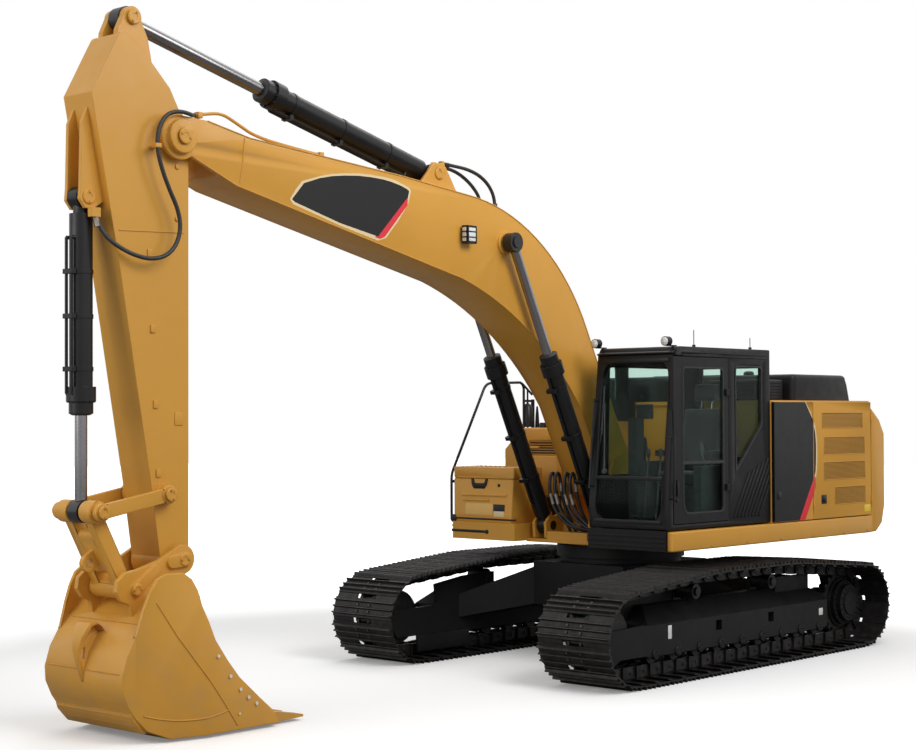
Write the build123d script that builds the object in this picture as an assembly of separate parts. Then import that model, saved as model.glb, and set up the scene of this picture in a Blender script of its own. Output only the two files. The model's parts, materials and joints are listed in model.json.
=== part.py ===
"""Tracked excavator, about 30 t, as a jointed assembly.

Millimetres, +X to the machine's front, +Y to its left, +Z up.
Origin: the swing axis on the ground, midway between the track ends.
"""
from build123d import *
import os
from math import asin, atan2, cos, degrees, hypot, pi, sin, tan

os.makedirs("parts", exist_ok=True)

# ------------------------------------------------------------------ clearances
SLIP = 0.3      # radial gap of a pin or rod in the bore of another body
SIDE_GAP = 6.0  # side gap between pieces that turn against each other
FIT = 0.5       # gap round glass, soft pieces, lids and doors at rest

# ------------------------------------------------------------------ driving sizes
# tracks
GAUGE = 2590.0           # between the track centres
WHEELBASE = 3990.0       # idler axle to sprocket axle
SHOE_WIDTH = 800.0
SHOE_COUNT = 50
AXLE_Z = 435.0           # idler and sprocket axles, also the radius to the shoe tips
GROUSER = 27.0           # bar height on a shoe
SHOE_PLATE = 14.0
CHAIN_PIN_R = 330.0      # chain pin path round the end wheels
RAIL_OUT = 64.0          # rail above the chain pins
RAIL_IN = 52.0           # rail below the chain pins
RAIL_Y = 77.0            # rail centre from the track centre
RAIL_THICK = 46.0
CARRIER_X = (690.0, -600.0)
CARRIER_TOP = 872.0      # chain pin height over the carrier rollers

# undercarriage frame
FRAME_TOP = 660.0         # ridge along the inner side of a track frame
FRAME_EAVE = 500.0        # upper edge of its outer face
FRAME_BOTTOM = 330.0
FRAME_IN = 152.0         # outer face of a frame cheek from the track centre
CHEEK = 20.0
FRAME_X = (-1560.0, 1500.0)
FRAME_HOLE_X = (391.0, -506.0)  # square openings in the outer cheek
ROLLER_X = tuple(-1400.0 + 350.0 * i for i in range(9))
ROLLER_R = 84.0
TOW_R = 34.0             # bore of the tow eyes
RING_R = 640.0
RING_Z = (980.0, 1098.0)

# upper structure
HALF_WIDTH = 1448.0
DECK_Z = (1136.0, 1318.0)
DECK_FRONT = 1135.0
PANEL_RIB_Z = (1172.0, 1216.0, 1260.0)  # ribs of the black panel below the cab
CW_FRONT = -2490.0
TAIL_R = 3120.0
CW_HOLE_X = -2620.0      # lifting holes in the counterweight's top
CW_HOLE_Y = (-450.0, 450.0)
CW_HOLE_R = 21.0
HOUSE_TOP = 2528.0
HOOD_TOP = 2800.0
DOOR_THICK = 32.0
KNUCKLE_R = 9.0
DOOR_HINGE_IN = 5.0     # hinge axis from a door's rear edge
HOOD_HINGE = (-2466.0, 2538.5)
LID_HINGE = (550.0, 1757.0)

# right-hand boxes
TOOL_BOX_X = (560.0, 1050.0)
TOOL_BOX_Y = (-1400.0, -552.0)
TOOL_BOX_SEAM = 1753.0   # lower edge of the lid
TOOL_BOX_TOP = 1868.0
TANK_X = (-635.0, 200.0)
RAIL_Y_RIGHT = -1425.0
TANK_SIDE = -1373.0

# cab
CAB_Y = (500.0, 1412.0)
CAB_X = (-572.0, 1150.0)
CAB_Z = (1330.0, 3020.0)
CAB_WALL = 50.0
CAB_LAMPS = ((1335.0, 1323.0), (522.0, 510.0))  # y of each roof lamp and of its bracket
AERIALS = ((560.0, 165.0), (-395.0, 118.0))      # x and height
DOOR_X = (165.0, 1052.0)
DOOR_Z = (1385.0, 2925.0)
DOOR_LEAF = 40.0

# working arm: pin places in the XZ plane
BOOM_FOOT = (330.0, 1800.0)
BOOM_TIP = (5830.0, 4520.0)
BOOM_CYL_FOOT = (750.0, 1300.0)
BOOM_CYL_TOP = (2060.0, 3970.0)
STICK_CYL_FOOT = (2830.0, 4545.0)
STICK_CYL_TOP = (6180.0, 5400.0)
BUCKET_CYL_FOOT = (6560.0, 4010.0)
LINK_PIN = (6555.0, 1690.0)
IDLER_PIN = (5940.0, 1800.0)
BUCKET_PIN = (5812.0, 1304.0)
BUCKET_LINK_PIN = (6255.0, 1110.0)
LIFT_EYE = (6492.0, 1305.0)
STICK_EAR_Y = (66.0, 122.0)  # ears that hold the stick cylinder's rod
BOOM_HALF = 250.0
STICK_HALF = 175.0
BUCKET_HALF = (620.0, 480.0)     # half width at the mouth and at the back
BUCKET_WALL = 32.0
BUCKET_EAR_Y = (218.0, 262.0)
BOOM_CYL_Y = 350.0
HOSE_R = 16.0            # hydraulic hoses, outer radius
RAIL_R = 14.0            # handrail pipe


# ------------------------------------------------------------------ helpers
def box(x0, x1, y0, y1, z0, z1):
    """Box between two corners."""
    return Pos((x0 + x1) / 2, (y0 + y1) / 2, (z0 + z1) / 2) * Box(x1 - x0, y1 - y0, z1 - z0)


def slab(points, y0, y1):
    """Plate with an outline in XZ between two Y faces."""
    face = make_face(Polyline(*[(x, 0, z) for x, z in points], close=True))
    return Pos(0, y0, 0) * solid_of(extrude(face, amount=y1 - y0, dir=(0, 1, 0)))


def plan(points, z0, z1):
    """Plate with an outline in XY between two heights."""
    face = make_face(Polyline(*[(x, y, z0) for x, y in points], close=True))
    return solid_of(extrude(face, amount=z1 - z0, dir=(0, 0, 1)))


def solid_of(shape):
    """The single solid of a shape."""
    return shape.solids()[0]


def rod_y(centre, r, y0, y1):
    """Cylinder along Y."""
    x, z = centre
    return Pos(x, (y0 + y1) / 2, z) * Rot(90, 0, 0) * Cylinder(r, y1 - y0)


def rod_z(x, y, r, z0, z1):
    """Cylinder along Z."""
    return Pos(x, y, (z0 + z1) / 2) * Cylinder(r, z1 - z0)


def rod_x(x0, x1, y, z, r):
    """Cylinder along X."""
    return Pos((x0 + x1) / 2, y, z) * Rot(0, 90, 0) * Cylinder(r, x1 - x0)


def along(a, b, y, r, s0, s1):
    """Cylinder on the line a to b in XZ, from length s0 to s1."""
    d = (b[0] - a[0], b[1] - a[1])
    n = hypot(*d)
    u = (d[0] / n, d[1] / n)
    mid = (s0 + s1) / 2
    tilt = degrees(atan2(u[0], u[1]))
    return Pos(a[0] + u[0] * mid, y, a[1] + u[1] * mid) * Rot(0, tilt, 0) * Cylinder(r, s1 - s0)


def tube(points, r, share=0.45):
    """Round tube along straight runs joined by arcs as large as the runs allow."""
    corners = [Vector(*p) for p in points]
    radii = []
    for a, b, c in zip(corners, corners[1:], corners[2:]):
        half_turn = (b - a).get_angle(c - b) / 2
        shorter = min((b - a).length, (c - b).length)
        radii.append(share * shorter / tan(half_turn * pi / 180))
    path = FilletPolyline(*corners, radius=radii) if radii else Line(*corners)
    section = Plane(path @ 0, z_dir=path % 0) * Circle(r)
    return solid_of(sweep(section, path=path))


def knuckles(x, y, heights):
    """Hinge barrels on a vertical axis."""
    return [rod_z(x, y, KNUCKLE_R, z - 45, z + 45) for z in heights]


def both(shape):
    """A shape and its mirror image across the middle."""
    return [shape, shape.mirror(Plane.XZ)]


def save(name, *shapes):
    """Write one node."""
    solids = [s for shape in shapes for s in shape.solids()]
    body = solids[0] if len(solids) == 1 else Compound(children=solids)
    body.label = name
    export_step(body, f"parts/{name}.step")


# ------------------------------------------------------------------ track loop
def loop_path():
    """Chain pin path as straight and round pieces: (kind, data, length)."""
    r = CHAIN_PIN_R
    half = WHEELBASE / 2
    wheels = [(-half, AXLE_Z, r), (half, AXLE_Z, r)]
    carriers = [(x, CARRIER_TOP - 160, 160.0) for x in CARRIER_X]
    order = [wheels[0], wheels[1], carriers[0], carriers[1]]
    pieces = []
    contacts = []
    for i, a in enumerate(order):
        b = order[(i + 1) % len(order)]
        dx, dz = b[0] - a[0], b[1] - a[1]
        d = hypot(dx, dz)
        base = atan2(dz, dx)
        turn = (a[2] - b[2]) / d
        normal = base - (pi / 2 - asin(turn))
        p = (a[0] + a[2] * cos(normal), a[1] + a[2] * sin(normal))
        q = (b[0] + b[2] * cos(normal), b[1] + b[2] * sin(normal))
        contacts.append((p, q, normal))
    for i, (p, q, normal) in enumerate(contacts):
        pieces.append(("line", (p, q), hypot(q[0] - p[0], q[1] - p[1])))
        c = order[(i + 1) % len(order)]
        following = contacts[(i + 1) % len(contacts)][2]
        arc = (following - normal) % (2 * pi)
        pieces.append(("arc", (c, normal, arc), c[2] * arc))
    return pieces


def path_point(pieces, s):
    """Point of the loop at run s."""
    s = s % sum(p[2] for p in pieces)
    for kind, data, length in pieces:
        if s <= length:
            break
        s -= length
    if kind == "line":
        (x0, z0), (x1, z1) = data
        t = s / length
        return (x0 + (x1 - x0) * t, z0 + (z1 - z0) * t)
    (cx, cz, r), start, _ = data
    a = start + s / r
    return (cx + r * cos(a), cz + r * sin(a))


def shoe_frames():
    """Pin points of every shoe with its unit run and outward normal."""
    pieces = loop_path()
    pitch = sum(p[2] for p in pieces) / SHOE_COUNT
    pins = [path_point(pieces, pitch * (i + 0.35)) for i in range(SHOE_COUNT)]
    frames = []
    for i, a in enumerate(pins):
        b = pins[(i + 1) % SHOE_COUNT]
        length = hypot(b[0] - a[0], b[1] - a[1])
        u = ((b[0] - a[0]) / length, (b[1] - a[1]) / length)
        frames.append((a, u, (u[1], -u[0]), length))
    return frames


PLATE_TOP = AXLE_Z - CHAIN_PIN_R - GROUSER
# one shoe's outline: run as a share of its pitch, height over the pins
SHOE_POINTS = (
    (0.02, PLATE_TOP - SHOE_PLATE),
    (0.04, PLATE_TOP),
    (0.13, PLATE_TOP + 3),
    (0.16, PLATE_TOP + GROUSER),
    (0.20, PLATE_TOP + GROUSER),
    (0.25, PLATE_TOP),
    (0.44, PLATE_TOP),
    (0.48, PLATE_TOP + GROUSER - 2),
    (0.52, PLATE_TOP + GROUSER - 2),
    (0.56, PLATE_TOP),
    (0.75, PLATE_TOP),
    (0.80, PLATE_TOP + GROUSER),
    (0.84, PLATE_TOP + GROUSER),
    (0.87, PLATE_TOP + 3),
    (0.96, PLATE_TOP),
    (0.98, PLATE_TOP - SHOE_PLATE),
)


def ring_points(frames, table):
    """Closed outline made of one table of points per shoe."""
    points = []
    for a, u, n, length in frames:
        for share, height in table:
            run = share * length
            points.append((a[0] + u[0] * run + n[0] * height, a[1] + u[1] * run + n[1] * height))
    return points


def loop_band(outer, inner, y0, y1):
    """Closed band between two outlines."""
    wire_out = Polyline(*[(x, y0, z) for x, z in outer], close=True)
    wire_in = Polyline(*[(x, y0, z) for x, z in inner], close=True)
    face = make_face(wire_out) - make_face(wire_in)
    return solid_of(extrude(face, amount=y1 - y0, dir=(0, 1, 0)))


def track():
    """One track loop: shoes and the two chain rails."""
    frames = shoe_frames()
    rail_outer = ring_points(frames, ((0.5, RAIL_OUT),))
    rail_inner = ring_points(frames, ((0.5, -RAIL_IN + 6),))
    shoes = loop_band(
        ring_points(frames, SHOE_POINTS),
        ring_points(frames, ((0.5, PLATE_TOP - SHOE_PLATE - 8),)),
        GAUGE / 2 - SHOE_WIDTH / 2,
        GAUGE / 2 + SHOE_WIDTH / 2,
    )
    rails = [
        loop_band(rail_outer, rail_inner, y - RAIL_THICK / 2, y + RAIL_THICK / 2)
        for y in (GAUGE / 2 - RAIL_Y, GAUGE / 2 + RAIL_Y)
    ]
    return shoes, rails



# ------------------------------------------------------------------ undercarriage
def build_tracks():
    """Both track loops."""
    shoes, rails = track()
    left = shoes.fuse(*rails)
    save("track_left", left)
    save("track_right", left.mirror(Plane.XZ))


def build_end_wheels():
    """Idlers, sprockets and final drives."""
    yc = GAUGE / 2
    front, rear = (WHEELBASE / 2, AXLE_Z), (-WHEELBASE / 2, AXLE_Z)
    idler = rod_y(front, 256, yc - 100, yc + 100)
    idler += rod_y(front, 190, yc - 118, yc + 118)
    save("idlers", *both(solid_of(idler)))
    teeth = []
    for i in range(21):
        a = 2 * pi * i / 21
        b = 2 * pi * (i + 0.5) / 21
        teeth.append((front_point(rear, 338, a - 0.045), front_point(rear, 338, a + 0.045)))
        teeth.append((front_point(rear, 296, b - 0.06), front_point(rear, 296, b + 0.06)))
    outline = [p for pair in teeth for p in pair]
    wheel = slab(outline, yc - 36, yc + 36)
    wheel += rod_y(rear, 250, yc - 90, yc + 60)
    save("sprockets", *both(solid_of(wheel)))
    drive = rod_y(rear, 225, yc + 60, yc + 105)
    drive += rod_y(rear, 185, yc + 100, yc + 158)
    drive += rod_y(rear, 120, yc + 150, yc + 172)
    save("final_drives", *both(solid_of(drive)))


def front_point(centre, r, a):
    """Point on a circle in XZ."""
    return (centre[0] + r * cos(a), centre[1] + r * sin(a))


def build_rollers():
    """Track rollers below the frame and carrier rollers above it."""
    yc = GAUGE / 2
    z = AXLE_Z - CHAIN_PIN_R + RAIL_IN + ROLLER_R
    rollers = []
    for x in ROLLER_X:
        body = rod_y((x, z), ROLLER_R, yc - 105, yc + 105)
        body -= rod_y((x, z), ROLLER_R + 5, yc - 40, yc + 40) - rod_y((x, z), 62, yc - 41, yc + 41)
        body += rod_y((x, z), 34, yc - FRAME_IN + CHEEK, yc + FRAME_IN - CHEEK)
        rollers += both(solid_of(body))
    save("track_rollers", *rollers)
    carriers = []
    top = CARRIER_TOP - RAIL_IN - 2
    for x in CARRIER_X:
        body = rod_y((x, top - 70), 70, yc - 100, yc + 105)
        body += rod_y((x, top - 70), 40, yc + 100, yc + 128)
        body += rod_y((x, top - 70), 38, yc - 146, yc - 90)
        post = box(x - 60, x + 60, yc - 146, yc - 112, FRAME_TOP, top - 30)
        carriers += both(solid_of(body + post))
    save("carrier_rollers", *carriers)


def build_track_frames():
    """Box frame of each track with its pitched top, nose, idler axle and drive carrier."""
    yc = GAUGE / 2
    x0, x1 = FRAME_X
    near, far = yc - FRAME_IN, yc + FRAME_IN
    section = [
        (near, FRAME_BOTTOM), (far, FRAME_BOTTOM), (far, FRAME_EAVE), (yc - 30, FRAME_TOP),
        (near, FRAME_TOP),
    ]
    end = make_face(Polyline(*[(x0, y, z) for y, z in section], close=True))
    side = [
        (x0, FRAME_BOTTOM), (x1, FRAME_BOTTOM), (x1, 520), (1350, FRAME_TOP + 1),
        (-1350, FRAME_TOP + 1), (x0, 560),
    ]
    frame = solid_of(extrude(end, amount=x1 - x0, dir=(1, 0, 0))) & slab(side, near - 5, far + 5)
    cheek = [(x0, 250), (-1500, 222), (1500, 222), (x1 + 60, 250), (x1 + 60, 420), (x0, 420)]
    nose = [
        (1440, 236), (2060, 238), (2125, 330), (2125, 440), (2080, 500), (1560, 515), (1440, 500),
    ]
    for points, thick in ((cheek, CHEEK), (nose, 30)):
        frame += slab(points, near, near + thick) + slab(points, far - thick, far)
    for web in (
        [(760, 600), (760, 790), (1100, 775), (1520, 720), (1490, 500)],
        [(-700, 600), (-700, 790), (-1100, 775), (-1520, 730), (-1540, 500)],
    ):
        frame += slab(web, near, near + 30)
    carrier = [(-1400, 340), (-1400, 500), (-1800, 590), (-2190, 560), (-2240, 435), (-2190, 310), (-1800, 280)]
    frame += slab(carrier, yc - FRAME_IN, yc - FRAME_IN + 40)
    for x in FRAME_HOLE_X:
        frame -= box(x - 48, x + 48, yc + FRAME_IN - CHEEK - 60, yc + FRAME_IN + 5, 368, 462)
    rear_hub = rod_y((-WHEELBASE / 2, AXLE_Z), 120, yc - FRAME_IN - 60, yc - 90)
    frame += rear_hub
    frame -= rod_y((WHEELBASE / 2, AXLE_Z), 52, yc - 200, yc + 200)
    axle = rod_y((WHEELBASE / 2, AXLE_Z), 52, yc - FRAME_IN, yc + FRAME_IN)
    frame += axle - rod_y((WHEELBASE / 2, AXLE_Z), 60, yc - 118 - FIT, yc + 118 + FIT)
    left = solid_of(frame)
    save("track_frame_left", left)
    save("track_frame_right", left.mirror(Plane.XZ))


def build_carbody():
    """Cross-shaped centre frame with four tapering legs."""
    centre = box(-700, 700, -560, 560, 500, 930)
    centre += rod_z(0, 0, 600, 900, RING_Z[0])
    inner_y = GAUGE / 2 - FRAME_IN
    for sx in (-1, 1):
        for sy in (-1, 1):
            root = Plane((sx * 430, sy * 520, 700), z_dir=(0, sy, 0), x_dir=(1, 0, 0))
            foot = Plane((sx * 900, sy * inner_y, 480), z_dir=(0, sy, 0), x_dir=(1, 0, 0))
            with BuildPart() as leg:
                with BuildSketch(root):
                    Rectangle(480, 380)
                with BuildSketch(foot):
                    Rectangle(560, 230)
                loft()
            centre += leg.part
    for sx in (-1, 1):
        x = sorted((sx * 690, sx * 830))
        eye = box(*x, -24, 24, 560, 700) - rod_y((sx * 765, 630), TOW_R, -30, 30)
        centre += eye
    save("carbody", solid_of(centre))
    ring = rod_z(0, 0, RING_R, *RING_Z) - rod_z(0, 0, 560, RING_Z[0] - 1, RING_Z[1] + 1)
    save("swing_ring", solid_of(ring))



# ------------------------------------------------------------------ upper structure
def build_main_frame():
    """Deck with the boom foot towers and the cylinder foot ears."""
    z0, z1 = DECK_Z
    deck = box(CW_FRONT, 600, -HALF_WIDTH + 60, HALF_WIDTH - 60, z0, z1)
    deck += plan(
        [(590, -HALF_WIDTH + 60), (960, -HALF_WIDTH + 60), (1062, -1325), (1062, -500), (590, -500)],
        z0 + 10, z1,
    )
    deck += box(760, 862, -250, 250, z0 + 30, 1246)
    deck += box(590, DECK_FRONT - 20, 480, HALF_WIDTH - 60, z0, z1)
    deck += box(590, 870, -505, 485, z0, z0 + 34)
    deck += rod_z(0, 0, 560 - SLIP, RING_Z[0] + SIDE_GAP, z0 + 10)
    tower = [
        (-700, z1 - 20), (600, z1 - 20), (600, 1420), (560, 1560), (530, 1850), (480, 1965),
        (330, 2025), (180, 1965), (60, 1800), (-300, 1560),
    ]
    ear = [(590, 1150), (680, 1150), (850, 1180), (860, 1330), (800, 1395), (700, 1395), (590, 1420)]
    for sy in (-1, 1):
        y = sorted((sy * 262, sy * 298))
        deck += slab(tower, *y)
        for ya, yb in ((262, 292), (408, 440)):
            deck += slab(ear, *sorted((sy * ya, sy * yb)))
        deck -= rod_y(BOOM_FOOT, 50 + SLIP, *sorted((sy * 200, sy * 380)))
        deck -= rod_y(BOOM_CYL_FOOT, 45 + SLIP, *sorted((sy * 250, sy * 460)))
    save("main_frame", solid_of(deck))
    outer, inner = HALF_WIDTH, HALF_WIDTH - 60
    save("side_skirt_left", box(CW_FRONT, DECK_FRONT, inner, outer, z0, z1))
    right = [(CW_FRONT, -outer), (880, -outer), (960, -inner), (CW_FRONT, -inner)]
    save("side_skirt_right", plan(right, z0, z1))
    panel = box(DECK_FRONT - 20, DECK_FRONT + 15, 490, inner, z0 + 4, z1 + 8)
    for z in PANEL_RIB_Z:
        panel += box(DECK_FRONT + 14, DECK_FRONT + 22, 500, inner - 10, z, z + 14)
    save("cab_front_panel", solid_of(panel))


def build_counterweight():
    """Rounded tail block behind the engine bay."""
    profile = [
        (2000, DECK_Z[0] + 4), (2960, DECK_Z[0] + 4), (3070, 1230), (TAIL_R, 1420), (TAIL_R, 2180),
        (3030, 2330), (2790, HOUSE_TOP), (2000, HOUSE_TOP),
    ]
    face = make_face(Polyline(*[(x, 0, z) for x, z in profile], close=True))
    ring = revolve(face, Axis.Z, 360)
    keep = box(-3200, CW_FRONT, -HALF_WIDTH, HALF_WIDTH, 1000, 2700)
    block = ring & keep
    for y in CW_HOLE_Y:
        block -= rod_z(CW_HOLE_X, y, CW_HOLE_R, HOUSE_TOP - 90, HOUSE_TOP + 5)
    save("counterweight", solid_of(block))


def build_engine_bay():
    """Engine, walls, doors and hood of the rear housing."""
    z0 = DECK_Z[1]
    save("engine", box(-2250, -1350, -700, 620, z0 + 60, 2350), box(-2000, -1700, -300, 200, z0, z0 + 62))
    yi = HALF_WIDTH - DOOR_THICK - FIT
    bay = box(CW_FRONT, -1270, -yi, yi, HOUSE_TOP - 40, HOUSE_TOP)
    bay += box(-1270, -572, 470, yi, HOUSE_TOP - 40, HOUSE_TOP)
    bay += box(-1275, -640, -yi, -470, 2280, 2320)
    bay += box(-1342, -1292, -yi, yi, z0, HOUSE_TOP - 10)
    bay += box(CW_FRONT, CW_FRONT + 44, -yi, yi, z0, HOUSE_TOP - 10)
    bay += box(-622, -582, 470, yi, z0, HOUSE_TOP - 10)
    save("engine_bay", solid_of(bay))


DOOR_TABLE = (
    # name, side, x rear, x front, z low, z high
    ("rear_left_door", 1, CW_FRONT + 14, -1322, 1326, 2516),
    ("middle_left_door", 1, -1312, -588, 1326, 2516),
    ("rear_right_door", -1, CW_FRONT + 14, -1322, 1326, 2516),
    ("middle_right_door", -1, -1312, -648, 1326, 2312),
)


def build_side_doors():
    """Flat service doors on both sides of the rear housing."""
    for name, side, x0, x1, z0, z1 in DOOR_TABLE:
        y = sorted((side * (HALF_WIDTH - DOOR_THICK), side * HALF_WIDTH))
        door = box(x0, x1, *y, z0, z1)
        for barrel in knuckles(x0 + DOOR_HINGE_IN, side * (HALF_WIDTH + KNUCKLE_R - 1), (z0 + 160, z1 - 160)):
            door += barrel
        save(name, solid_of(door))


def build_hood():
    """Raised hood over the engine, hollow underneath."""
    outer = [
        (-2455, HOUSE_TOP + FIT), (-2400, 2700), (-2360, HOOD_TOP - 30), (-2310, HOOD_TOP),
        (-1340, HOOD_TOP), (-1300, HOOD_TOP - 30), (-1290, HOUSE_TOP + FIT),
    ]
    inner = [(-2400, 2500), (-2340, HOOD_TOP - 60), (-1350, HOOD_TOP - 60), (-1330, 2500)]
    hood = slab(outer, -1230, 1230) - slab(inner, -1190, 1190)
    x, z = HOOD_HINGE
    for y in (-900, 0, 900):
        hood += rod_y(HOOD_HINGE, KNUCKLE_R, y - 45, y + 45)
        hood += box(x, x + 26, y - 45, y + 45, z - 7, z + KNUCKLE_R)
    save("engine_hood", solid_of(hood))


def build_roof_fittings():
    """Intake box and exhaust stack on the housing."""
    top = HOUSE_TOP
    intake = box(-1230, -760, 560, 1150, top, 2740)
    save("intake_box", intake)
    stack = rod_z(-1120, -820, 150, 2320, 2560) + rod_z(-1120, -820, 75, 2550, 3010)
    save("exhaust_stack", solid_of(stack))


# ------------------------------------------------------------------ right-hand boxes
def build_right_side():
    """Tool box with its lid, step, fuel tank and hydraulic tank on the right."""
    z0 = DECK_Z[1]
    yo, yi = TOOL_BOX_Y
    xr, xf = TOOL_BOX_X
    seam, top = TOOL_BOX_SEAM, TOOL_BOX_TOP

    def shell(inset):
        side = slab(
            [
                (xr + inset, z0), (xf - inset, z0), (xf - inset, 1400), (xf - 55 - inset, top + 40),
                (xr + inset, top + 40),
            ],
            yo + inset, yi - inset,
        )
        corner = [
            (xr, yo + inset), (xf - 95, yo + inset), (xf - inset, yo + 95), (xf + 10, yi),
            (xr, yi),
        ]
        return side & plan(corner, z0, top + 40)

    floor = z0 + 50
    body = shell(0) & box(0, 2000, -2000, 0, z0, seam)
    body -= shell(35) & box(0, 2000, -2000, 0, floor, top + 40)
    save("tool_box", solid_of(body))
    lid = shell(0) & box(0, 2000, -2000, 0, seam + FIT, top)
    lid -= shell(35) & box(0, 2000, -2000, 0, seam - 5, top - 35)
    x, z = LID_HINGE
    for y in (yo + 200, yi - 200):
        lid += rod_y(LID_HINGE, KNUCKLE_R, y - 45, y + 45) + box(x, x + 16, y - 45, y + 45, z - 3, z + KNUCKLE_R)
    save("tool_box_lid", solid_of(lid))
    save("access_step", box(TANK_X[1] + 5, xr - 5, yo, -600, z0, 1560))
    outline = [(TANK_SIDE, z0), (TANK_SIDE, 2030), (-1128, 2258), (-600, 2258), (-600, z0)]
    for name, x0, x1 in (("fuel_tank", -76, TANK_X[1]), ("hydraulic_tank", TANK_X[0], -82)):
        face = make_face(Polyline(*[(x0, y, z) for y, z in outline], close=True))
        tank = solid_of(extrude(face, amount=x1 - x0, dir=(1, 0, 0)))
        if x1 > 0:
            tank -= box(x1 - 30, x1 + 5, -1040, -670, 1975, 2120)
        save(name, tank)


def build_handrail():
    """Handrail along the right side with its mirror and posts."""
    y = RAIL_Y_RIGHT
    route = [(970, y, 1325), (970, y, 1790), (430, y, 2725), (-180, y, 2742), (-180, y, 1985)]
    rail = tube(route, RAIL_R, 0.12)
    for z in (1345, 1700):
        rail += box(925, 975, y - 4, TOOL_BOX_Y[0], z, z + 30)
    rail += box(-200, -160, y - 4, TANK_SIDE, 1990, 2024)
    rail += rod_z(-330, y, 20, 1975, 2560) + box(-350, -310, y - 4, TANK_SIDE, 1980, 2024)
    rail += box(-340, -170, y - 8, y + 8, 2530, 2555)
    save("handrail", solid_of(rail))
    mirror = box(-235, -125, y - 20, y + 30, 2262, 2512)
    save("mirror", solid_of(mirror - rod_z(-180, y, RAIL_R, 2200, 2600)))


# ------------------------------------------------------------------ cab
def cab_profile(inset):
    """Side outline of the cab, drawn in by an inset."""
    x0, x1 = CAB_X
    z0, z1 = CAB_Z
    return [
        (x0 + inset, z0 + inset), (x1 - inset, z0 + inset), (x1 - inset, 1560),
        (1000 - inset, z1 - 60 - inset), (960 - inset, z1 - inset), (x0 + inset, z1 - inset),
    ]


QUARTER_WINDOW = [(-430, 2285), (40, 1830), (40, 2860), (-430, 2860)]
RIGHT_WINDOW = [(-350, 1800), (900, 1800), (860, 2860), (-350, 2860)]
DOOR_WINDOW = [(DOOR_X[0] + 70, 1470), (860, 1470), (905, 1560), (905, 2835), (DOOR_X[0] + 70, 2835)]
FRONT_EDGE = 75.0        # windscreen side edge from the cab side
REAR_WINDOW = (610, 1302, 1950, 2860)
ROOF_WINDOW = (60, 640, 680, 1232)


def pane(points, y, thick):
    """Glass pane that fills an opening outlined in XZ."""
    face = offset(make_face(Polyline(*[(x, 0, z) for x, z in points], close=True)), -FIT)
    return Pos(0, y - thick / 2, 0) * solid_of(extrude(face, amount=thick, dir=(0, 1, 0)))


def front_pane(z0, z1):
    """Windscreen pane that follows the cab's front between two heights."""
    def at(z):
        return CAB_X[1] if z < 1560 else CAB_X[1] - 150 * (z - 1560) / 1400
    heights = [z0] + ([1560] if z0 < 1560 < z1 else []) + [z1]
    points = [(at(z) - 22, z) for z in heights] + [(at(z) - 29, z) for z in reversed(heights)]
    return slab(points, CAB_Y[0] + FRONT_EDGE + FIT, CAB_Y[1] - FRONT_EDGE - FIT)


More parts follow.
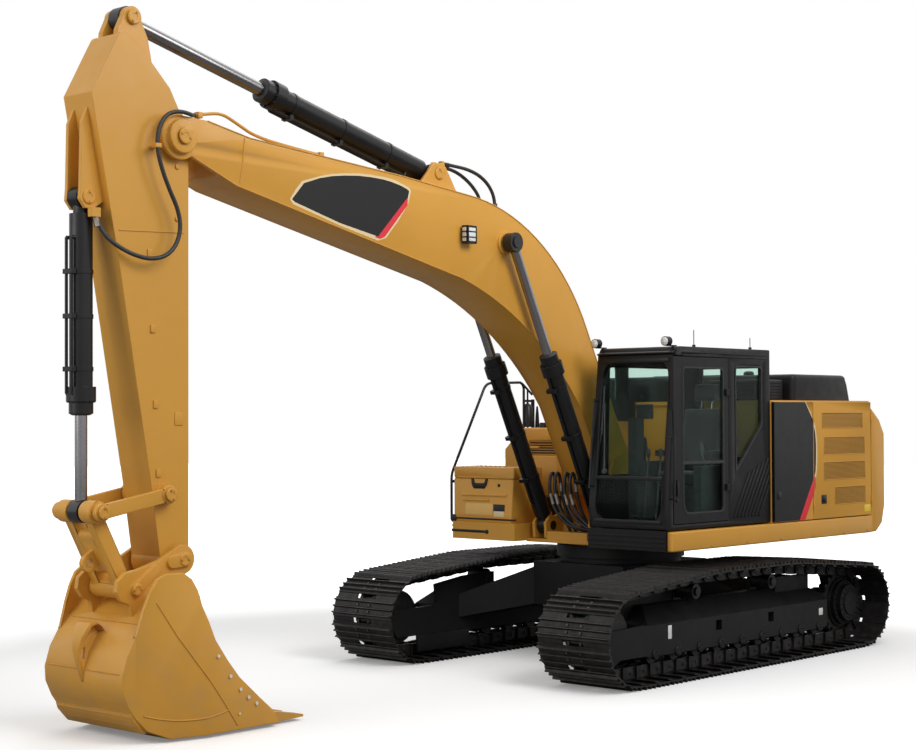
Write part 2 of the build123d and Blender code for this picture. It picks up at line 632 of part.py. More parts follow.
def build_cab():
    """Cab shell with its window openings, glass, seat and console."""
    y0, y1 = CAB_Y
    w = CAB_WALL
    ry0, ry1, rz0, rz1 = REAR_WINDOW
    hx0, hx1, hy0, hy1 = ROOF_WINDOW
    x0, x1 = DOOR_X
    z0, z1 = DOOR_Z
    shell = slab(cab_profile(0), y0, y1) - slab(cab_profile(w), y0 + w, y1 - w)
    front = box(900, 1200, y0 + FRONT_EDGE, y1 - FRONT_EDGE, 1400, 2890)
    door = box(x0 - 4, x1 + 4, y1 - DOOR_LEAF - FIT, y1 + 5, z0 - 4, z1 + 4)
    doorway = box(x0 + 20, x1 - 20, y1 - w - 5, y1 + 5, z0 + 20, z1 - 20)
    quarter = slab(QUARTER_WINDOW, y1 - w - 5, y1 + 5)
    rear = box(CAB_X[0] - 5, CAB_X[0] + w + 5, ry0, ry1, rz0, rz1)
    right = slab(RIGHT_WINDOW, y0 - 5, y0 + w + 5)
    hatch = box(hx0, hx1, hy0, hy1, CAB_Z[1] - w - 5, CAB_Z[1] + 5)
    for cut in (front, door, doorway, quarter, rear, right, hatch):
        shell -= cut
    for x in (CAB_X[0] + 150, CAB_X[1] - 150):
        for y in (y0 + 130, y1 - 130):
            shell += rod_z(x, y, 60, DECK_Z[1], CAB_Z[0] + 10)
    save("cab_frame", solid_of(shell))
    mid = w / 2
    panes = [
        front_pane(1400 + FIT, 1985),
        front_pane(1985 + FIT, 2890 - FIT),
        pane(QUARTER_WINDOW, y1 - mid, 6),
        pane(RIGHT_WINDOW, y0 + mid, 6),
        box(CAB_X[0] + mid - 3, CAB_X[0] + mid + 3, ry0 + FIT, ry1 - FIT, rz0 + FIT, rz1 - FIT),
        box(hx0 + FIT, hx1 - FIT, hy0 + FIT, hy1 - FIT, CAB_Z[1] - mid - 4, CAB_Z[1] - mid + 4),
    ]
    save("cab_glass", *panes)
    leaf = box(x0, x1, y1 - DOOR_LEAF, y1, z0, z1) - slab(DOOR_WINDOW, y1 - w, y1 + 5)
    for z in (1700, 2600):
        leaf += box(x0 + 4, x0 + 60, y1 - 1, y1 + 30, z - 30, z + 30)
        leaf += box(x0 - 12, x0 + 10, y1 + 12, y1 + 30, z - 30, z + 30)
        leaf += rod_z(x0 - 12, y1 + 22, 14, z - 30, z + 30)
    handle = box(x1 - 62, x1 - 34, y1 - 1, y1 + 16, 1640, 1790)
    save("cab_door", solid_of(leaf + handle))
    save("cab_door_glass", pane(DOOR_WINDOW, y1 - DOOR_LEAF / 2, 6))
    seat_y = (y0 + y1) / 2
    floor = CAB_Z[0] + w
    save("seat_base", box(-60, 340, seat_y - 200, seat_y + 200, floor, floor + 330))
    save("seat_cushion", box(-90, 400, seat_y - 250, seat_y + 250, floor + 330 + FIT, floor + 450))
    back = [(-95, floor + 450 + FIT), (20, floor + 450 + FIT), (-90, floor + 1090), (-200, floor + 1090)]
    save("seat_back", slab(back, seat_y - 240, seat_y + 240))
    console = box(150, 560, y0 + w + 20, y0 + w + 120, floor, floor + 560)
    console += box(500, 620, y0 + w + 20, y0 + w + 120, floor, floor + 980)
    save("right_console", solid_of(console))
    save("left_console", box(60, 460, y1 - w - 150, y1 - w - 60, floor, floor + 520))


def build_cab_fittings():
    """Work lamps and aerials on the cab roof."""
    top = CAB_Z[1]
    solids = []
    for y, foot in CAB_LAMPS:
        lamp = rod_x(1012, 1075, y, top + 45, 44)
        lamp += box(900, 1040, foot, foot + 24, top, top + 12)
        lamp += box(1014, 1034, foot, foot + 24, top, top + 45)
        solids.append(solid_of(lamp))
    for x, height in AERIALS:
        aerial = rod_z(x, 1300, 16, top, top + 26) + rod_z(x, 1300, 4, top + 20, top + height)
        solids.append(solid_of(aerial))
    save("cab_roof_fittings", *solids)


# ------------------------------------------------------------------ working arm
def build_boom():
    """Boom box with its foot, tip fork and cylinder brackets."""
    with BuildPart() as part:
        with BuildSketch(Plane.XZ.offset(-BOOM_HALF)):
            with BuildLine():
                top_a = Line((5560, 4676), (5130, 4592))
                top_b = Line(top_a @ 1, (3430, 4462))
                top_c = Line(top_b @ 1, (2560, 4372))
                back = ThreePointArc(top_c @ 1, (1560, 4020), (850, 3220))
                heel = Line(back @ 1, (115, 1890))
                foot = ThreePointArc(heel @ 1, (250, 1575), (545, 1700))
                belly = Line(foot @ 1, (960, 2470))
                bend = ThreePointArc(belly @ 1, (1640, 3120), (2640, 3612))
                under = Line(bend @ 1, (5270, 4196))
                jaw = Line(under @ 1, (5720, 4380))
                nose = ThreePointArc(jaw @ 1, (5990, 4560), (5800, 4688))
                Line(nose @ 1, top_a @ 0)
            make_face()
        extrude(amount=2 * BOOM_HALF)
    boom = part.part
    slot = STICK_HALF + SIDE_GAP + 30
    boom -= slab([(5440, 4000), (6200, 4000), (6200, 4900), (5440, 4900)], -slot, slot)
    boom += rod_y(BOOM_TIP, 130, slot, 300) + rod_y(BOOM_TIP, 130, -300, -slot)
    ear = [(2560, 4350), (3100, 4410), (2960, 4560), (2900, 4640), (2760, 4640), (2700, 4560)]
    for y in (-150, 112):
        boom += slab(ear, y, y + 38)
    boom += box(1905, 2115, -80, 80, 4100, 4289.5)
    for y in (-48, 48):
        boom += box(2670, 2710, y - 26, y + 26, 4380, 4680)
    boom -= rod_y(STICK_CYL_FOOT, 45 + SLIP, -200, 200)
    boom += rod_y(BOOM_CYL_TOP, 105, -BOOM_HALF - 28, BOOM_HALF + 28)
    boom += rod_y(BOOM_FOOT, 50, -330, 330)
    boom -= rod_y(BOOM_TIP, 50 + SLIP, -320, 320)
    save("boom", solid_of(boom))


def build_stick():
    """Stick with its nose, cylinder ribs and bucket end."""
    with BuildPart() as part:
        with BuildSketch(Plane.XZ.offset(-STICK_HALF)):
            with BuildLine():
                rear = Line((5690, 1330), (5690, 4330))
                heel = ThreePointArc(rear @ 1, (5660, 4560), (5780, 4735))
                neck = Polyline(heel @ 1, (5870, 4895), (6060, 5085), (6245, 5242))
                tip = ThreePointArc(neck @ 1, (6302, 5262), (6350, 5228))
                brow = Polyline(tip @ 1, (6430, 5080), (6592, 4775), (6335, 3500))
                shin = Polyline(brow @ 1, (6045, 1880), (5962, 1330))
                toe = ThreePointArc(shin @ 1, (5812, 1154), rear @ 0)
            make_face()
        extrude(amount=2 * STICK_HALF)
    stick = part.part
    x, z = STICK_CYL_TOP
    ear = [
        (x - 180, z - 330), (x - 140, z - 140), (x - 80, z - 20), (x - 60, z + 54),
        (x + 60, z + 54), (x + 134, z - 106), (x + 150, z - 290),
    ]
    near, far = STICK_EAR_Y
    for y0, y1 in ((near, far), (-far, -near)):
        stick += slab(ear, y0, y1) + rod_y(STICK_CYL_TOP, 82, y0, y1)
    stick += rod_y(STICK_CYL_TOP, 50, far, far + 22) + rod_y(STICK_CYL_TOP, 50, -far - 22, -far)
    stick += rod_y(BOOM_TIP, 150, -STICK_HALF - 28, STICK_HALF + 28)
    stick += rod_y(IDLER_PIN, 82, -STICK_HALF - 42, STICK_HALF + 42)
    stick += rod_y(BOOM_TIP, 50, -318, 318)
    rib = [
        (6560, 4700), (6622, 4560), (6632, 4080), (6640, 3990), (6590, 3925), (6520, 3925),
        (6440, 3980), (6360, 4000),
    ]
    for y in (-100, 68):
        stick += slab(rib, y, y + 32)
    stick += box(6490, 6570, 99, 150, 3860, 3930)
    stick -= rod_y(BUCKET_CYL_FOOT, 45 + SLIP, -160, 160)
    stick -= rod_y(IDLER_PIN, 42 + SLIP, -300, 300)
    stick -= rod_y(BUCKET_PIN, 48 + SLIP, -300, 300)
    save("stick", solid_of(stick))


# bucket side outline from the lip round the back to the top plate
BUCKET_BACK = (
    (5160, 30), (6150, 24), (6330, 100), (6415, 192), (6482, 285), (6536, 400), (6543, 511),
    (6497, 658), (6415, 790), (6335, 872), (6262, 925), (6150, 1040), (5925, 1060),
)
BUCKET_EDGE = ((5905, 985), (5788, 722), (5672, 561), (5555, 421), (5356, 247), (5215, 130))
BUCKET_INSIDE = (
    (5000, 62), (6140, 56), (6308, 126), (6388, 212), (6452, 300), (6504, 408), (6510, 505),
    (6466, 645), (6388, 772), (6312, 848), (6238, 900), (6135, 1008), (5925, 1028), (5000, 1028),
)
BUCKET_CHEEK = (
    (5905, 985), (5938, 1100), (5985, 1185), (6050, 1235), (6185, 1235), (6250, 1200),
    (6312, 1100), (6360, 980), (6420, 785), (6300, 800), (6000, 900),
)


def bucket_plan(inset, reach):
    """Plan outline of the bucket: wide at the mouth, narrower at the back."""
    front, back = BUCKET_HALF[0] - inset, BUCKET_HALF[1] - inset
    left = [(4700, front), (5850, front), (6420, back), (reach, back)]
    return left + [(x, -y) for x, y in reversed(left)]


def build_bucket():
    """Bucket shell, its ears and its teeth."""
    wide = BUCKET_HALF[0] + 10
    outer = slab(BUCKET_BACK + BUCKET_EDGE, -wide, wide) & plan(bucket_plan(0, 6700), 0, 1300)
    hollow = slab(BUCKET_INSIDE, -wide, wide) & plan(bucket_plan(BUCKET_WALL, 6700), 0, 1300)
    cheeks = slab(BUCKET_CHEEK, -wide, wide) & plan(bucket_plan(0, 6700), 0, 1300)
    cheeks -= plan(bucket_plan(BUCKET_WALL, 6700), 0, 1300)
    bucket = outer - hollow
    for cheek in cheeks.solids():
        bucket += cheek
    near, far = BUCKET_EAR_Y
    x, z = BUCKET_PIN
    for y0, y1 in ((near, far), (-far, -near)):
        ear = [
            (6205, 900), (6285, 890), (6312, 1000), (6385, 1030), (6432, 1100), (6418, 1180),
            (6350, 1238), (6240, 1254), (6030, 1315), (x + 60, z + 92), (x - 60, z + 92),
            (x - 105, z + 10), (x - 70, z - 90), (5935, 1130), (5960, 1040), (6140, 1030),
        ]
        bucket += slab(ear, y0, y1) + rod_y(BUCKET_PIN, 112, y0, y1)
        cap = sorted((y0, y1), key=abs)[1]
        out = sorted((cap, cap * 1.1))
        bucket += link_plate((x - 20, z), (x + 110, z - 14), 52, 46, *out)
        bucket += link_plate(BUCKET_LINK_PIN, (6080, 1245), 46, 36, *out)
    bucket += rod_y(BUCKET_PIN, 48, -far - 2, far + 2)
    bucket += rod_y(BUCKET_LINK_PIN, 42, -far - 2, far + 2)
    heel = [(6312, 80), (6340, 78), (6434, 180), (6450, 232), (6428, 236), (6398, 196), (6320, 112)]
    bucket += slab(heel, -470, 470)
    fin = [
        (6404, 783), (6420, 812), (6470, 790), (6575, 700), (6600, 620), (6575, 530), (6541, 440),
        (6526, 440), (6531, 512), (6487, 652),
    ]
    bucket += slab(fin, -14, 14)
    bucket -= slab([(6535, 600), (6568, 612), (6552, 680), (6525, 690)], -20, 20)
    save("bucket", solid_of(bucket))
    teeth = []
    for i in range(5):
        y = -500 + 250 * i
        tooth = slab([(5225, 24), (5240, 112), (5120, 100), (4850, 48), (4850, 30), (5080, 22)], y - 55, y + 55)
        notch = box(5160 - FIT, 5300, y - 70, y + 70, 28.8, 62 + FIT)
        teeth.append(solid_of(tooth - notch))
    save("bucket_teeth", *teeth)


def build_linkage():
    """Idler links and the power link."""
    idler = link_plate(IDLER_PIN, LINK_PIN, 54, 54, 225, 265)
    idler += rod_y(LINK_PIN, 66, 225, 275) + rod_y(IDLER_PIN, 70, 225, 270)
    idler += rod_y(LINK_PIN, 42, 225, 290)
    pivot = rod_y(IDLER_PIN, 42, -290, 290)
    links = solid_of(idler) + solid_of(idler).mirror(Plane.XZ) + pivot
    save("idler_links", solid_of(links))
    arm = link_plate(LINK_PIN, BUCKET_LINK_PIN, 56, 56, 84, 168)
    arm += rod_y(LINK_PIN, 84, 80, 212) + rod_y(BUCKET_LINK_PIN, 80, 84, 205)
    link = solid_of(arm) + solid_of(arm).mirror(Plane.XZ)
    bridge = link_plate((6470, 1512), (6340, 1275), 50, 50, -90, 90)
    link += bridge + rod_y(BUCKET_LINK_PIN, 80, -205, 205)
    eye = link_plate((6400, 1370), LIFT_EYE, 60, 66, -22, 22)
    link += eye
    link -= rod_y(LIFT_EYE, 34, -30, 30)
    link -= rod_y(BUCKET_LINK_PIN, 42 + SLIP, -300, 300)
    save("power_link", solid_of(link))


def link_plate(a, b, ra, rb, y0, y1):
    """Plate with round ends about two pins."""
    dx, dz = b[0] - a[0], b[1] - a[1]
    n = hypot(dx, dz)
    px, pz = -dz / n, dx / n
    body = slab(
        [
            (a[0] + px * ra, a[1] + pz * ra), (b[0] + px * rb, b[1] + pz * rb),
            (b[0] - px * rb, b[1] - pz * rb), (a[0] - px * ra, a[1] - pz * ra),
        ],
        y0, y1,
    )
    return solid_of(body + rod_y(a, ra, y0, y1) + rod_y(b, rb, y0, y1))


CYLINDERS = (
    # name, foot pin, top pin, y, barrel r, rod r, barrel length, piston place,
    # eye r, eye half width, foot pin half, top pin half
    ("boom_cylinder_left", BOOM_CYL_FOOT, BOOM_CYL_TOP, BOOM_CYL_Y, 82, 45, 1840, 340, 88, 50, 92, 64),
    ("boom_cylinder_right", BOOM_CYL_FOOT, BOOM_CYL_TOP, -BOOM_CYL_Y, 82, 45, 1840, 340, 88, 50, 92, 64),
    ("stick_cylinder", STICK_CYL_FOOT, STICK_CYL_TOP, 0, 98, 55, 2030, 830, 92, 60, 155, 62),
    ("bucket_cylinder", BUCKET_CYL_FOOT, LINK_PIN, 0, 86, 46, 1600, 570, 84, 58, 103, 70),
)
FOOT_PIN_R = 45.0


def build_cylinders():
    """Barrel and rod of every hydraulic cylinder."""
    for name, a, b, y, rb, rr, lb, piston, er, half, foot_half, top_half in CYLINDERS:
        length = hypot(b[0] - a[0], b[1] - a[1])
        barrel = along(a, b, y, rb, 120, lb - 180)
        barrel += along(a, b, y, rb + 24, lb - 200, lb - 90) + along(a, b, y, rb + 4, lb - 100, lb)
        barrel += rod_y(a, er, y - half, y + half) + along(a, b, y, half, 40, 125)
        barrel -= along(a, b, y, rr + 12, 260, lb - 60)
        barrel -= along(a, b, y, rr + SLIP, lb - 70, lb + 5)
        barrel += rod_y(a, FOOT_PIN_R, y - foot_half, y + foot_half)
        save(f"{name}_barrel", solid_of(barrel))
        rod = along(a, b, y, rr, piston, length - 60)
        rod += along(a, b, y, rr + 10, piston, piston + 90)
        rod += rod_y(b, er, y - half, y + half)
        rod += rod_y(b, 52, y - top_half, y + top_half)
        save(f"{name}_rod", solid_of(rod))


# ------------------------------------------------------------------ hoses and lamp on the arm
BOOM_TUBE = ((4300, 180, 4548), (5018, 180, 4618), (5358, 180, 4760), (5640, 180, 4716))
TUBE_CLAMPS = (  # outlines that stand on the boom's top
    ((4290, 4528), (4330, 4531.2), (4330, 4570), (4290, 4570)),
    ((5560, 4676), (5630, 4679.5), (5630, 4740), (5560, 4740)),
)
STICK_HOSES = (
    # y, route in XZ from the elbow under the stick cylinder to the port block
    (48, ((2669.5, 4652), (2520, 4652), (2340, 4642), (2170, 4600), (2040, 4520), (1960, 4400), (1960, 4290))),
    (-48, ((2669.5, 4645), (2540, 4645), (2400, 4625), (2260, 4570), (2140, 4490), (2060, 4400), (2060, 4290))),
)
BUCKET_HOSE = (
    (5752, 285, 4690), (5870, 285, 4700), (5990, 285, 4672), (6062, 285, 4560), (6078, 285, 4420),
    (6040, 285, 4270), (5960, 285, 4100), (5878, 285, 3960), (5850, 285, 3820), (5890, 285, 3690),
    (5985, 285, 3596), (6130, 275, 3562), (6270, 250, 3590), (6390, 212, 3650), (6480, 160, 3740),
    (6520, 124, 3858.5),
)
VALVE_HOSES = (-214.0, -150.0, -30.0, 40.0)  # y of each loop


def build_arm_fittings():
    """Hydraulic lines, clamps and the lamp held by the boom, stick and deck."""
    pipe = tube(BOOM_TUBE, 13, 0.2)
    for outline in TUBE_CLAMPS:
        pipe += slab(outline, 152, 208)
    lines = [solid_of(pipe)]
    for y, route in STICK_HOSES:
        lines.append(tube([(x, y, z) for x, z in route], HOSE_R))
    save("boom_hoses", *lines)
    hose = tube(BUCKET_HOSE, HOSE_R) - box(6480, 6580, 80, 170, 3860 - FIT, 3940)
    save("bucket_hose", solid_of(hose))
    loops = []
    for y in VALVE_HOSES:
        route = [(848, y, 1246), (848, y, 1400), (862, y, 1550), (838, y, 1690), (790, y, 1775),
                 (720, y, 1775), (672, y, 1690), (648, y, 1550), (664, y, 1370), (664, y, 1170)]
        loops.append(tube(route, HOSE_R))
    save("valve_hoses", *loops)
    lamp = box(2540, 2665, BOOM_HALF + 20, BOOM_HALF + 86, 3925, 4085)
    lamp += box(2590, 2620, BOOM_HALF, BOOM_HALF + 30, 3990, 4030)
    save("boom_lamp", solid_of(lamp))


build_tracks()
build_end_wheels()
build_rollers()
build_track_frames()
build_carbody()
build_main_frame()
build_counterweight()
build_engine_bay()
build_side_doors()
build_hood()
build_roof_fittings()
build_right_side()
build_handrail()
build_cab()
build_cab_fittings()
build_boom()
build_stick()
build_bucket()
build_linkage()
build_cylinders()
build_arm_fittings()
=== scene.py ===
"""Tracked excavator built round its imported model.

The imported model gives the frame: every casting, plate, pin and door. This
script gives them their finishes, and adds what the frame leaves out: track
shoes and chains, bolts, grilles, hoses, lamps, panel graphics, the driver's
seat and controls, welds, and the plain studio the machine stands in.
"""

from __future__ import annotations

import json
import logging
from dataclasses import dataclass
from enum import Enum
from math import asin, atan2, copysign, cos, dist, hypot, pi, radians, sin
from typing import Callable, Iterable, Iterator, Sequence

import bmesh
import bpy
from mathutils import Euler, Matrix, Vector

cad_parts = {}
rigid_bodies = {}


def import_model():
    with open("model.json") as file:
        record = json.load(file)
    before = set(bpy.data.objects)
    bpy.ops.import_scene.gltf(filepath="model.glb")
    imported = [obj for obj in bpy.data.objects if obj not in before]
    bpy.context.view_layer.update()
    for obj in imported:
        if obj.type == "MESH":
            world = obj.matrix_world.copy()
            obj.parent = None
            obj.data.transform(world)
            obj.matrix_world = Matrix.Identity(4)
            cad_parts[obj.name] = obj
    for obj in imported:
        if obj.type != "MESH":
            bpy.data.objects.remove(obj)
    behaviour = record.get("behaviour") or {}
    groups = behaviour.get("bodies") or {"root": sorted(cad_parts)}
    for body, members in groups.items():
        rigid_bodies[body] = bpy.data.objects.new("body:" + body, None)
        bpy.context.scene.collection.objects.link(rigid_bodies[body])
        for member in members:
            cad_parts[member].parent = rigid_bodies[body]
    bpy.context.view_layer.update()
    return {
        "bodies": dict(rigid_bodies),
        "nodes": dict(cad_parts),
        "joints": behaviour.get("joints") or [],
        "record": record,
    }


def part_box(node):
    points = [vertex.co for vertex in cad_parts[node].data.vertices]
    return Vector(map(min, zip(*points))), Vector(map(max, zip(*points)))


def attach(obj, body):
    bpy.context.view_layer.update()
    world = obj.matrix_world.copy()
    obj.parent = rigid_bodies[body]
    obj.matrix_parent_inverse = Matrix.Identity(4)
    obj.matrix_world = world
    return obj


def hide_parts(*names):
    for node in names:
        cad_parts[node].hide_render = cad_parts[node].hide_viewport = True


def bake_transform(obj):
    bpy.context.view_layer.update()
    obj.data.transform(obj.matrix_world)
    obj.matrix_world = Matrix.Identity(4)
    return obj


LOG = logging.getLogger("excavator")

Colour = tuple[float, float, float]
Point = tuple[float, float, float]
Flat = tuple[float, float]
Outline = Sequence[Flat]
Points = Sequence[Point]
Mesh = bpy.types.Mesh
Thing = bpy.types.Object
Socket = bpy.types.NodeSocket

SAME_POINT = 0.00005  # points of a frame node nearer than this are one
SIDES = (-1, 1)                  # the machine's right and left
NAMED_SIDES = (("left", 1.0), ("right", -1.0))
FAR = 9.0  # further out than any part of the machine
UP = (0, 0, 1)


# ---- scene writing
def add_object(name: str, data: bpy.types.ID) -> Thing:
    """Put data in the scene as an object."""
    made = bpy.data.objects.new(name, data)
    bpy.context.scene.collection.objects.link(made)
    return made


def tuned(thing: object, **values: object) -> object:
    """Set properties of a thing and return it."""
    for key, value in values.items():
        setattr(thing, key, value)
    return thing


def applied(thing: Thing) -> Mesh:
    """Plain mesh of an object as its modifiers leave it."""
    bpy.context.view_layer.update()
    return bpy.data.meshes.new_from_object(thing.evaluated_get(bpy.context.evaluated_depsgraph_get()))


def shaded(mesh: Mesh, angle: float = 180.0) -> Mesh:
    """Shade a mesh smooth, save over edges sharper than an angle in degrees."""
    mesh.polygons.foreach_set("use_smooth", [True] * len(mesh.polygons))
    if angle < 180.0:
        mesh.set_sharp_from_angle(angle=radians(angle))
    return mesh


def merged_copy(mesh: Mesh) -> bmesh.types.BMesh:
    """Copy of a frame node's mesh with its loose triangles joined."""
    work = bmesh.new()
    work.from_mesh(mesh)
    bmesh.ops.remove_doubles(work, verts=work.verts, dist=SAME_POINT)
    return work


def middle(node: str) -> Vector:
    """Middle of a node's box."""
    low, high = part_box(node)
    return (low + high) / 2


def round_pairs(items: Sequence) -> Iterator[tuple]:
    """Each item with the one after it, round to the first."""
    return zip(items, [*items[1:], items[0]])


def about(centre: float, half: float) -> Flat:
    """Low and high end of what lies round a centre."""
    return centre - half, centre + half


def span(face: float, out: float, inner: float, outer: float) -> list[float]:
    """Low and high end of what lies from inner to outer over a face that looks out."""
    return sorted((face + out * inner, face + out * outer))


# ---- node trees
class NodeTree:
    """Writes nodes into a node tree."""

    def __init__(self, tree: bpy.types.NodeTree) -> None:
        """Hold the tree's nodes and links."""
        self.nodes, self.links = tree.nodes, tree.links

    def node(self, kind: str, feeds: dict | None = None, **values: object) -> bpy.types.Node:
        """Add a node.

        Args:
            kind: Blender's name for the node, of which a shader node's may lack "ShaderNode".
            feeds: Input name or index to a socket or a plain value.
            values: Properties of the node.

        Returns:
            The new node.
        """
        made = tuned(self.nodes.new(kind if "Node" in kind else f"ShaderNode{kind}"), **values)
        self.fill(made, feeds or {})
        return made

    def fill(self, node: bpy.types.Node, feeds: dict) -> None:
        """Feed a node's inputs with sockets, colours or plain values."""
        for key, value in feeds.items():
            if isinstance(value, Socket):
                self.links.new(value, node.inputs[key])
            else:
                node.inputs[key].default_value = value

    def times(self, a: Socket, b: Socket | float) -> Socket:
        """Product of two values."""
        return self.node("Math", {0: a, 1: b}, operation="MULTIPLY").outputs[0]


class ShaderTree(NodeTree):
    """Writes the node tree of one material."""

    def __init__(self, name: str) -> None:
        """Start a material of a name with a Principled shader."""
        self.material = bpy.data.materials.new(name)
        self.material.use_nodes = True
        super().__init__(self.material.node_tree)
        self.shader = self.nodes["Principled BSDF"]
        self.place = self.node("TexCoord").outputs["Object"]

    def noise(self, scale: float, detail: float) -> Socket:
        """Noise on object coordinates, as a value near 0 to 1."""
        return self.node("TexNoise", {"Vector": self.place, "Scale": scale, "Detail": detail}).outputs[0]

    def ramp(self, value: Socket, low: float, high: float, start: float | Socket = 0.0,
             end: float | Socket = 1.0) -> Socket:
        """Map a value from low..high to start..end, held at the ends."""
        return self.node("MapRange", {
            "Value": value, "From Min": low, "From Max": high, "To Min": start, "To Max": end}).outputs["Result"]

    def blend(self, factor: Socket, a: object, b: object) -> Socket:
        """Mix two colours; each is a colour or a socket."""
        ends = [c if isinstance(c, Socket) else (*c, 1.0) for c in (a, b)]
        return self.node("Mix", {0: factor, 6: ends[0], 7: ends[1]}, data_type="RGBA").outputs[2]

    def height(self) -> Socket:
        """Height over the ground, in metres."""
        return self.node("SeparateXYZ", {0: self.place}).outputs["Z"]

    def relief(self, value: Socket, strength: float, depth: float, edge: float = 0.0) -> None:
        """Feed the shader's normal.

        Args:
            value: Height, from 0 to 1.
            strength: Share of it that shows.
            depth: Depth of the full height.
            edge: Radius that rounds the edges.
        """
        feeds = {"Height": value, "Strength": strength, "Distance": depth}
        if edge:
            feeds["Normal"] = self.node("Bevel", {"Radius": edge}, samples=4).outputs[0]
        self.feed({"Normal": self.node("Bump", feeds).outputs[0]})

    def feed(self, feeds: dict[str, object]) -> None:
        """Feed the Principled shader; a colour has three parts."""
        self.fill(self.shader, {key: (*value, 1.0) if isinstance(value, tuple) else value
                                for key, value in feeds.items()})


# ---- finishes
@dataclass(frozen=True)
class Finish:
    """A surface finish; each kind writes its own material once."""

    name: str
    slot: str
    colour: Colour
    roughness: float = 0.5

    def material(self) -> bpy.types.Material:
        """The finish as a material, made the first time it is asked for."""
        known = bpy.data.materials.get(self.name)
        if known:
            return known
        tree = ShaderTree(self.name)
        self.write(tree)
        return tree.material

    def write(self, tree: ShaderTree) -> None:
        """Write the nodes of the material."""
        raise NotImplementedError

    def toned(self, share: float, more: float = 0.0) -> Colour:
        """The colour made stronger by a share and then by a plain amount."""
        return tuple(c * share + more for c in self.colour)

    def rough(self, tree: ShaderTree, scale: float, detail: float, less: float, more: float) -> Socket:
        """Roughness from less under to more over the finish's own."""
        return tree.ramp(tree.noise(scale, detail), 0.3, 0.7, self.roughness - less, self.roughness + more)


@dataclass(frozen=True)
class PaintFinish(Finish):
    """Sprayed paint with a faint orange peel, tone drift and road dust."""

    coat: float = 0.25
    drift: float = 0.03
    dust: float = 0.25
    dust_top: float = 1.3
    peel: float = 0.05
    edge: float = 0.006
    gloss: float = 0.3
    dust_colour: Colour = (0.3, 0.235, 0.16)

    def write(self, tree: ShaderTree) -> None:
        """Write the paint, its dust and its peel."""
        tone = tree.blend(tree.ramp(tree.noise(1.3, 4), 0.35, 0.65), self.toned(1 - self.drift),
                          self.toned(1 + self.drift))
        film = tree.times(tree.ramp(tree.height(), self.dust_top, 0.1),
                          tree.ramp(tree.noise(5.0, 6), 0.42, 0.72, 0.0, self.dust))
        tree.feed({"Base Color": tree.blend(film, tone, self.dust_colour),
                   "Roughness": self.rough(tree, 9.0, 5, 0.06, 0.08),
                   "Specular IOR Level": self.gloss, "Coat Weight": self.coat, "Coat Roughness": 0.18})
        tree.relief(tree.noise(380.0, 2), self.peel, 0.0005, self.edge)


@dataclass(frozen=True)
class SteelFinish(Finish):
    """Dark bare or cast steel with rub marks and dry dust in the low places."""

    metallic: float = 0.6
    dust: float = 0.35
    grain: float = 0.35
    edge: float = 0.004
    rub_colour: Colour = (0.1, 0.095, 0.095)
    dust_colour: Colour = (0.12, 0.095, 0.07)

    def write(self, tree: ShaderTree) -> None:
        """Write the steel, its rub marks and its dust."""
        tone = tree.blend(tree.ramp(tree.noise(14.0, 7), 0.45, 0.75), self.colour, self.rub_colour)
        film = tree.times(tree.ramp(tree.noise(3.0, 8), 0.5, 0.8, 0.0, self.dust),
                          tree.ramp(tree.height(), 1.2, 0.0))
        tree.feed({"Base Color": tree.blend(film, tone, self.dust_colour), "Metallic": self.metallic,
                   "Roughness": self.rough(tree, 22.0, 6, 0.1, 0.12)})
        tree.relief(tree.noise(160.0, 5), self.grain, 0.0012, self.edge)


@dataclass(frozen=True)
class ChromeFinish(Finish):
    """Ground and plated rod with hairline turning marks; its eye is painted."""

    eye: Flat = (0.0, 0.0)  # X and Z of the pin in the eye
    eye_r: float = 0.0
    paint: Colour = (0.012, 0.011, 0.012)

    def write(self, tree: ShaderTree) -> None:
        """Write the plating, and the paint round the pin."""
        x, z = self.eye
        flat = tree.node("Mapping", {"Vector": tree.place, "Location": (-x, 0.0, -z), "Scale": (1.0, 0.0, 1.0)})
        away = tree.node("VectorMath", {0: flat.outputs[0]}, operation="LENGTH").outputs["Value"]
        plated = tree.ramp(away, self.eye_r, self.eye_r + 0.002)
        bright = tree.blend(tree.noise(4.0, 5), self.colour, self.toned(0.72))
        tree.feed({"Base Color": tree.blend(plated, self.paint, bright), "Metallic": plated,
                   "Roughness": tree.ramp(plated, 0.0, 1.0, 0.42, self.rough(tree, 60.0, 4, 0.0, 0.12))})
        tree.relief(tree.noise(700.0, 2), 0.04, 0.0002)


@dataclass(frozen=True)
class MattFinish(Finish):
    """Rubber or moulded plastic with a fine leather grain."""

    grain: float = 0.25
    grain_scale: float = 900.0

    def write(self, tree: ShaderTree) -> None:
        """Write the rubber or plastic."""
        tone = tree.blend(tree.ramp(tree.noise(25.0, 5), 0.35, 0.8), self.colour, self.toned(1.5, 0.004))
        tree.feed({"Base Color": tone, "Roughness": self.rough(tree, 40.0, 3, 0.05, 0.1)})
        cells = tree.node("TexVoronoi", {"Vector": tree.place, "Scale": self.grain_scale})
        tree.relief(cells.outputs["Distance"], self.grain, 0.0003)


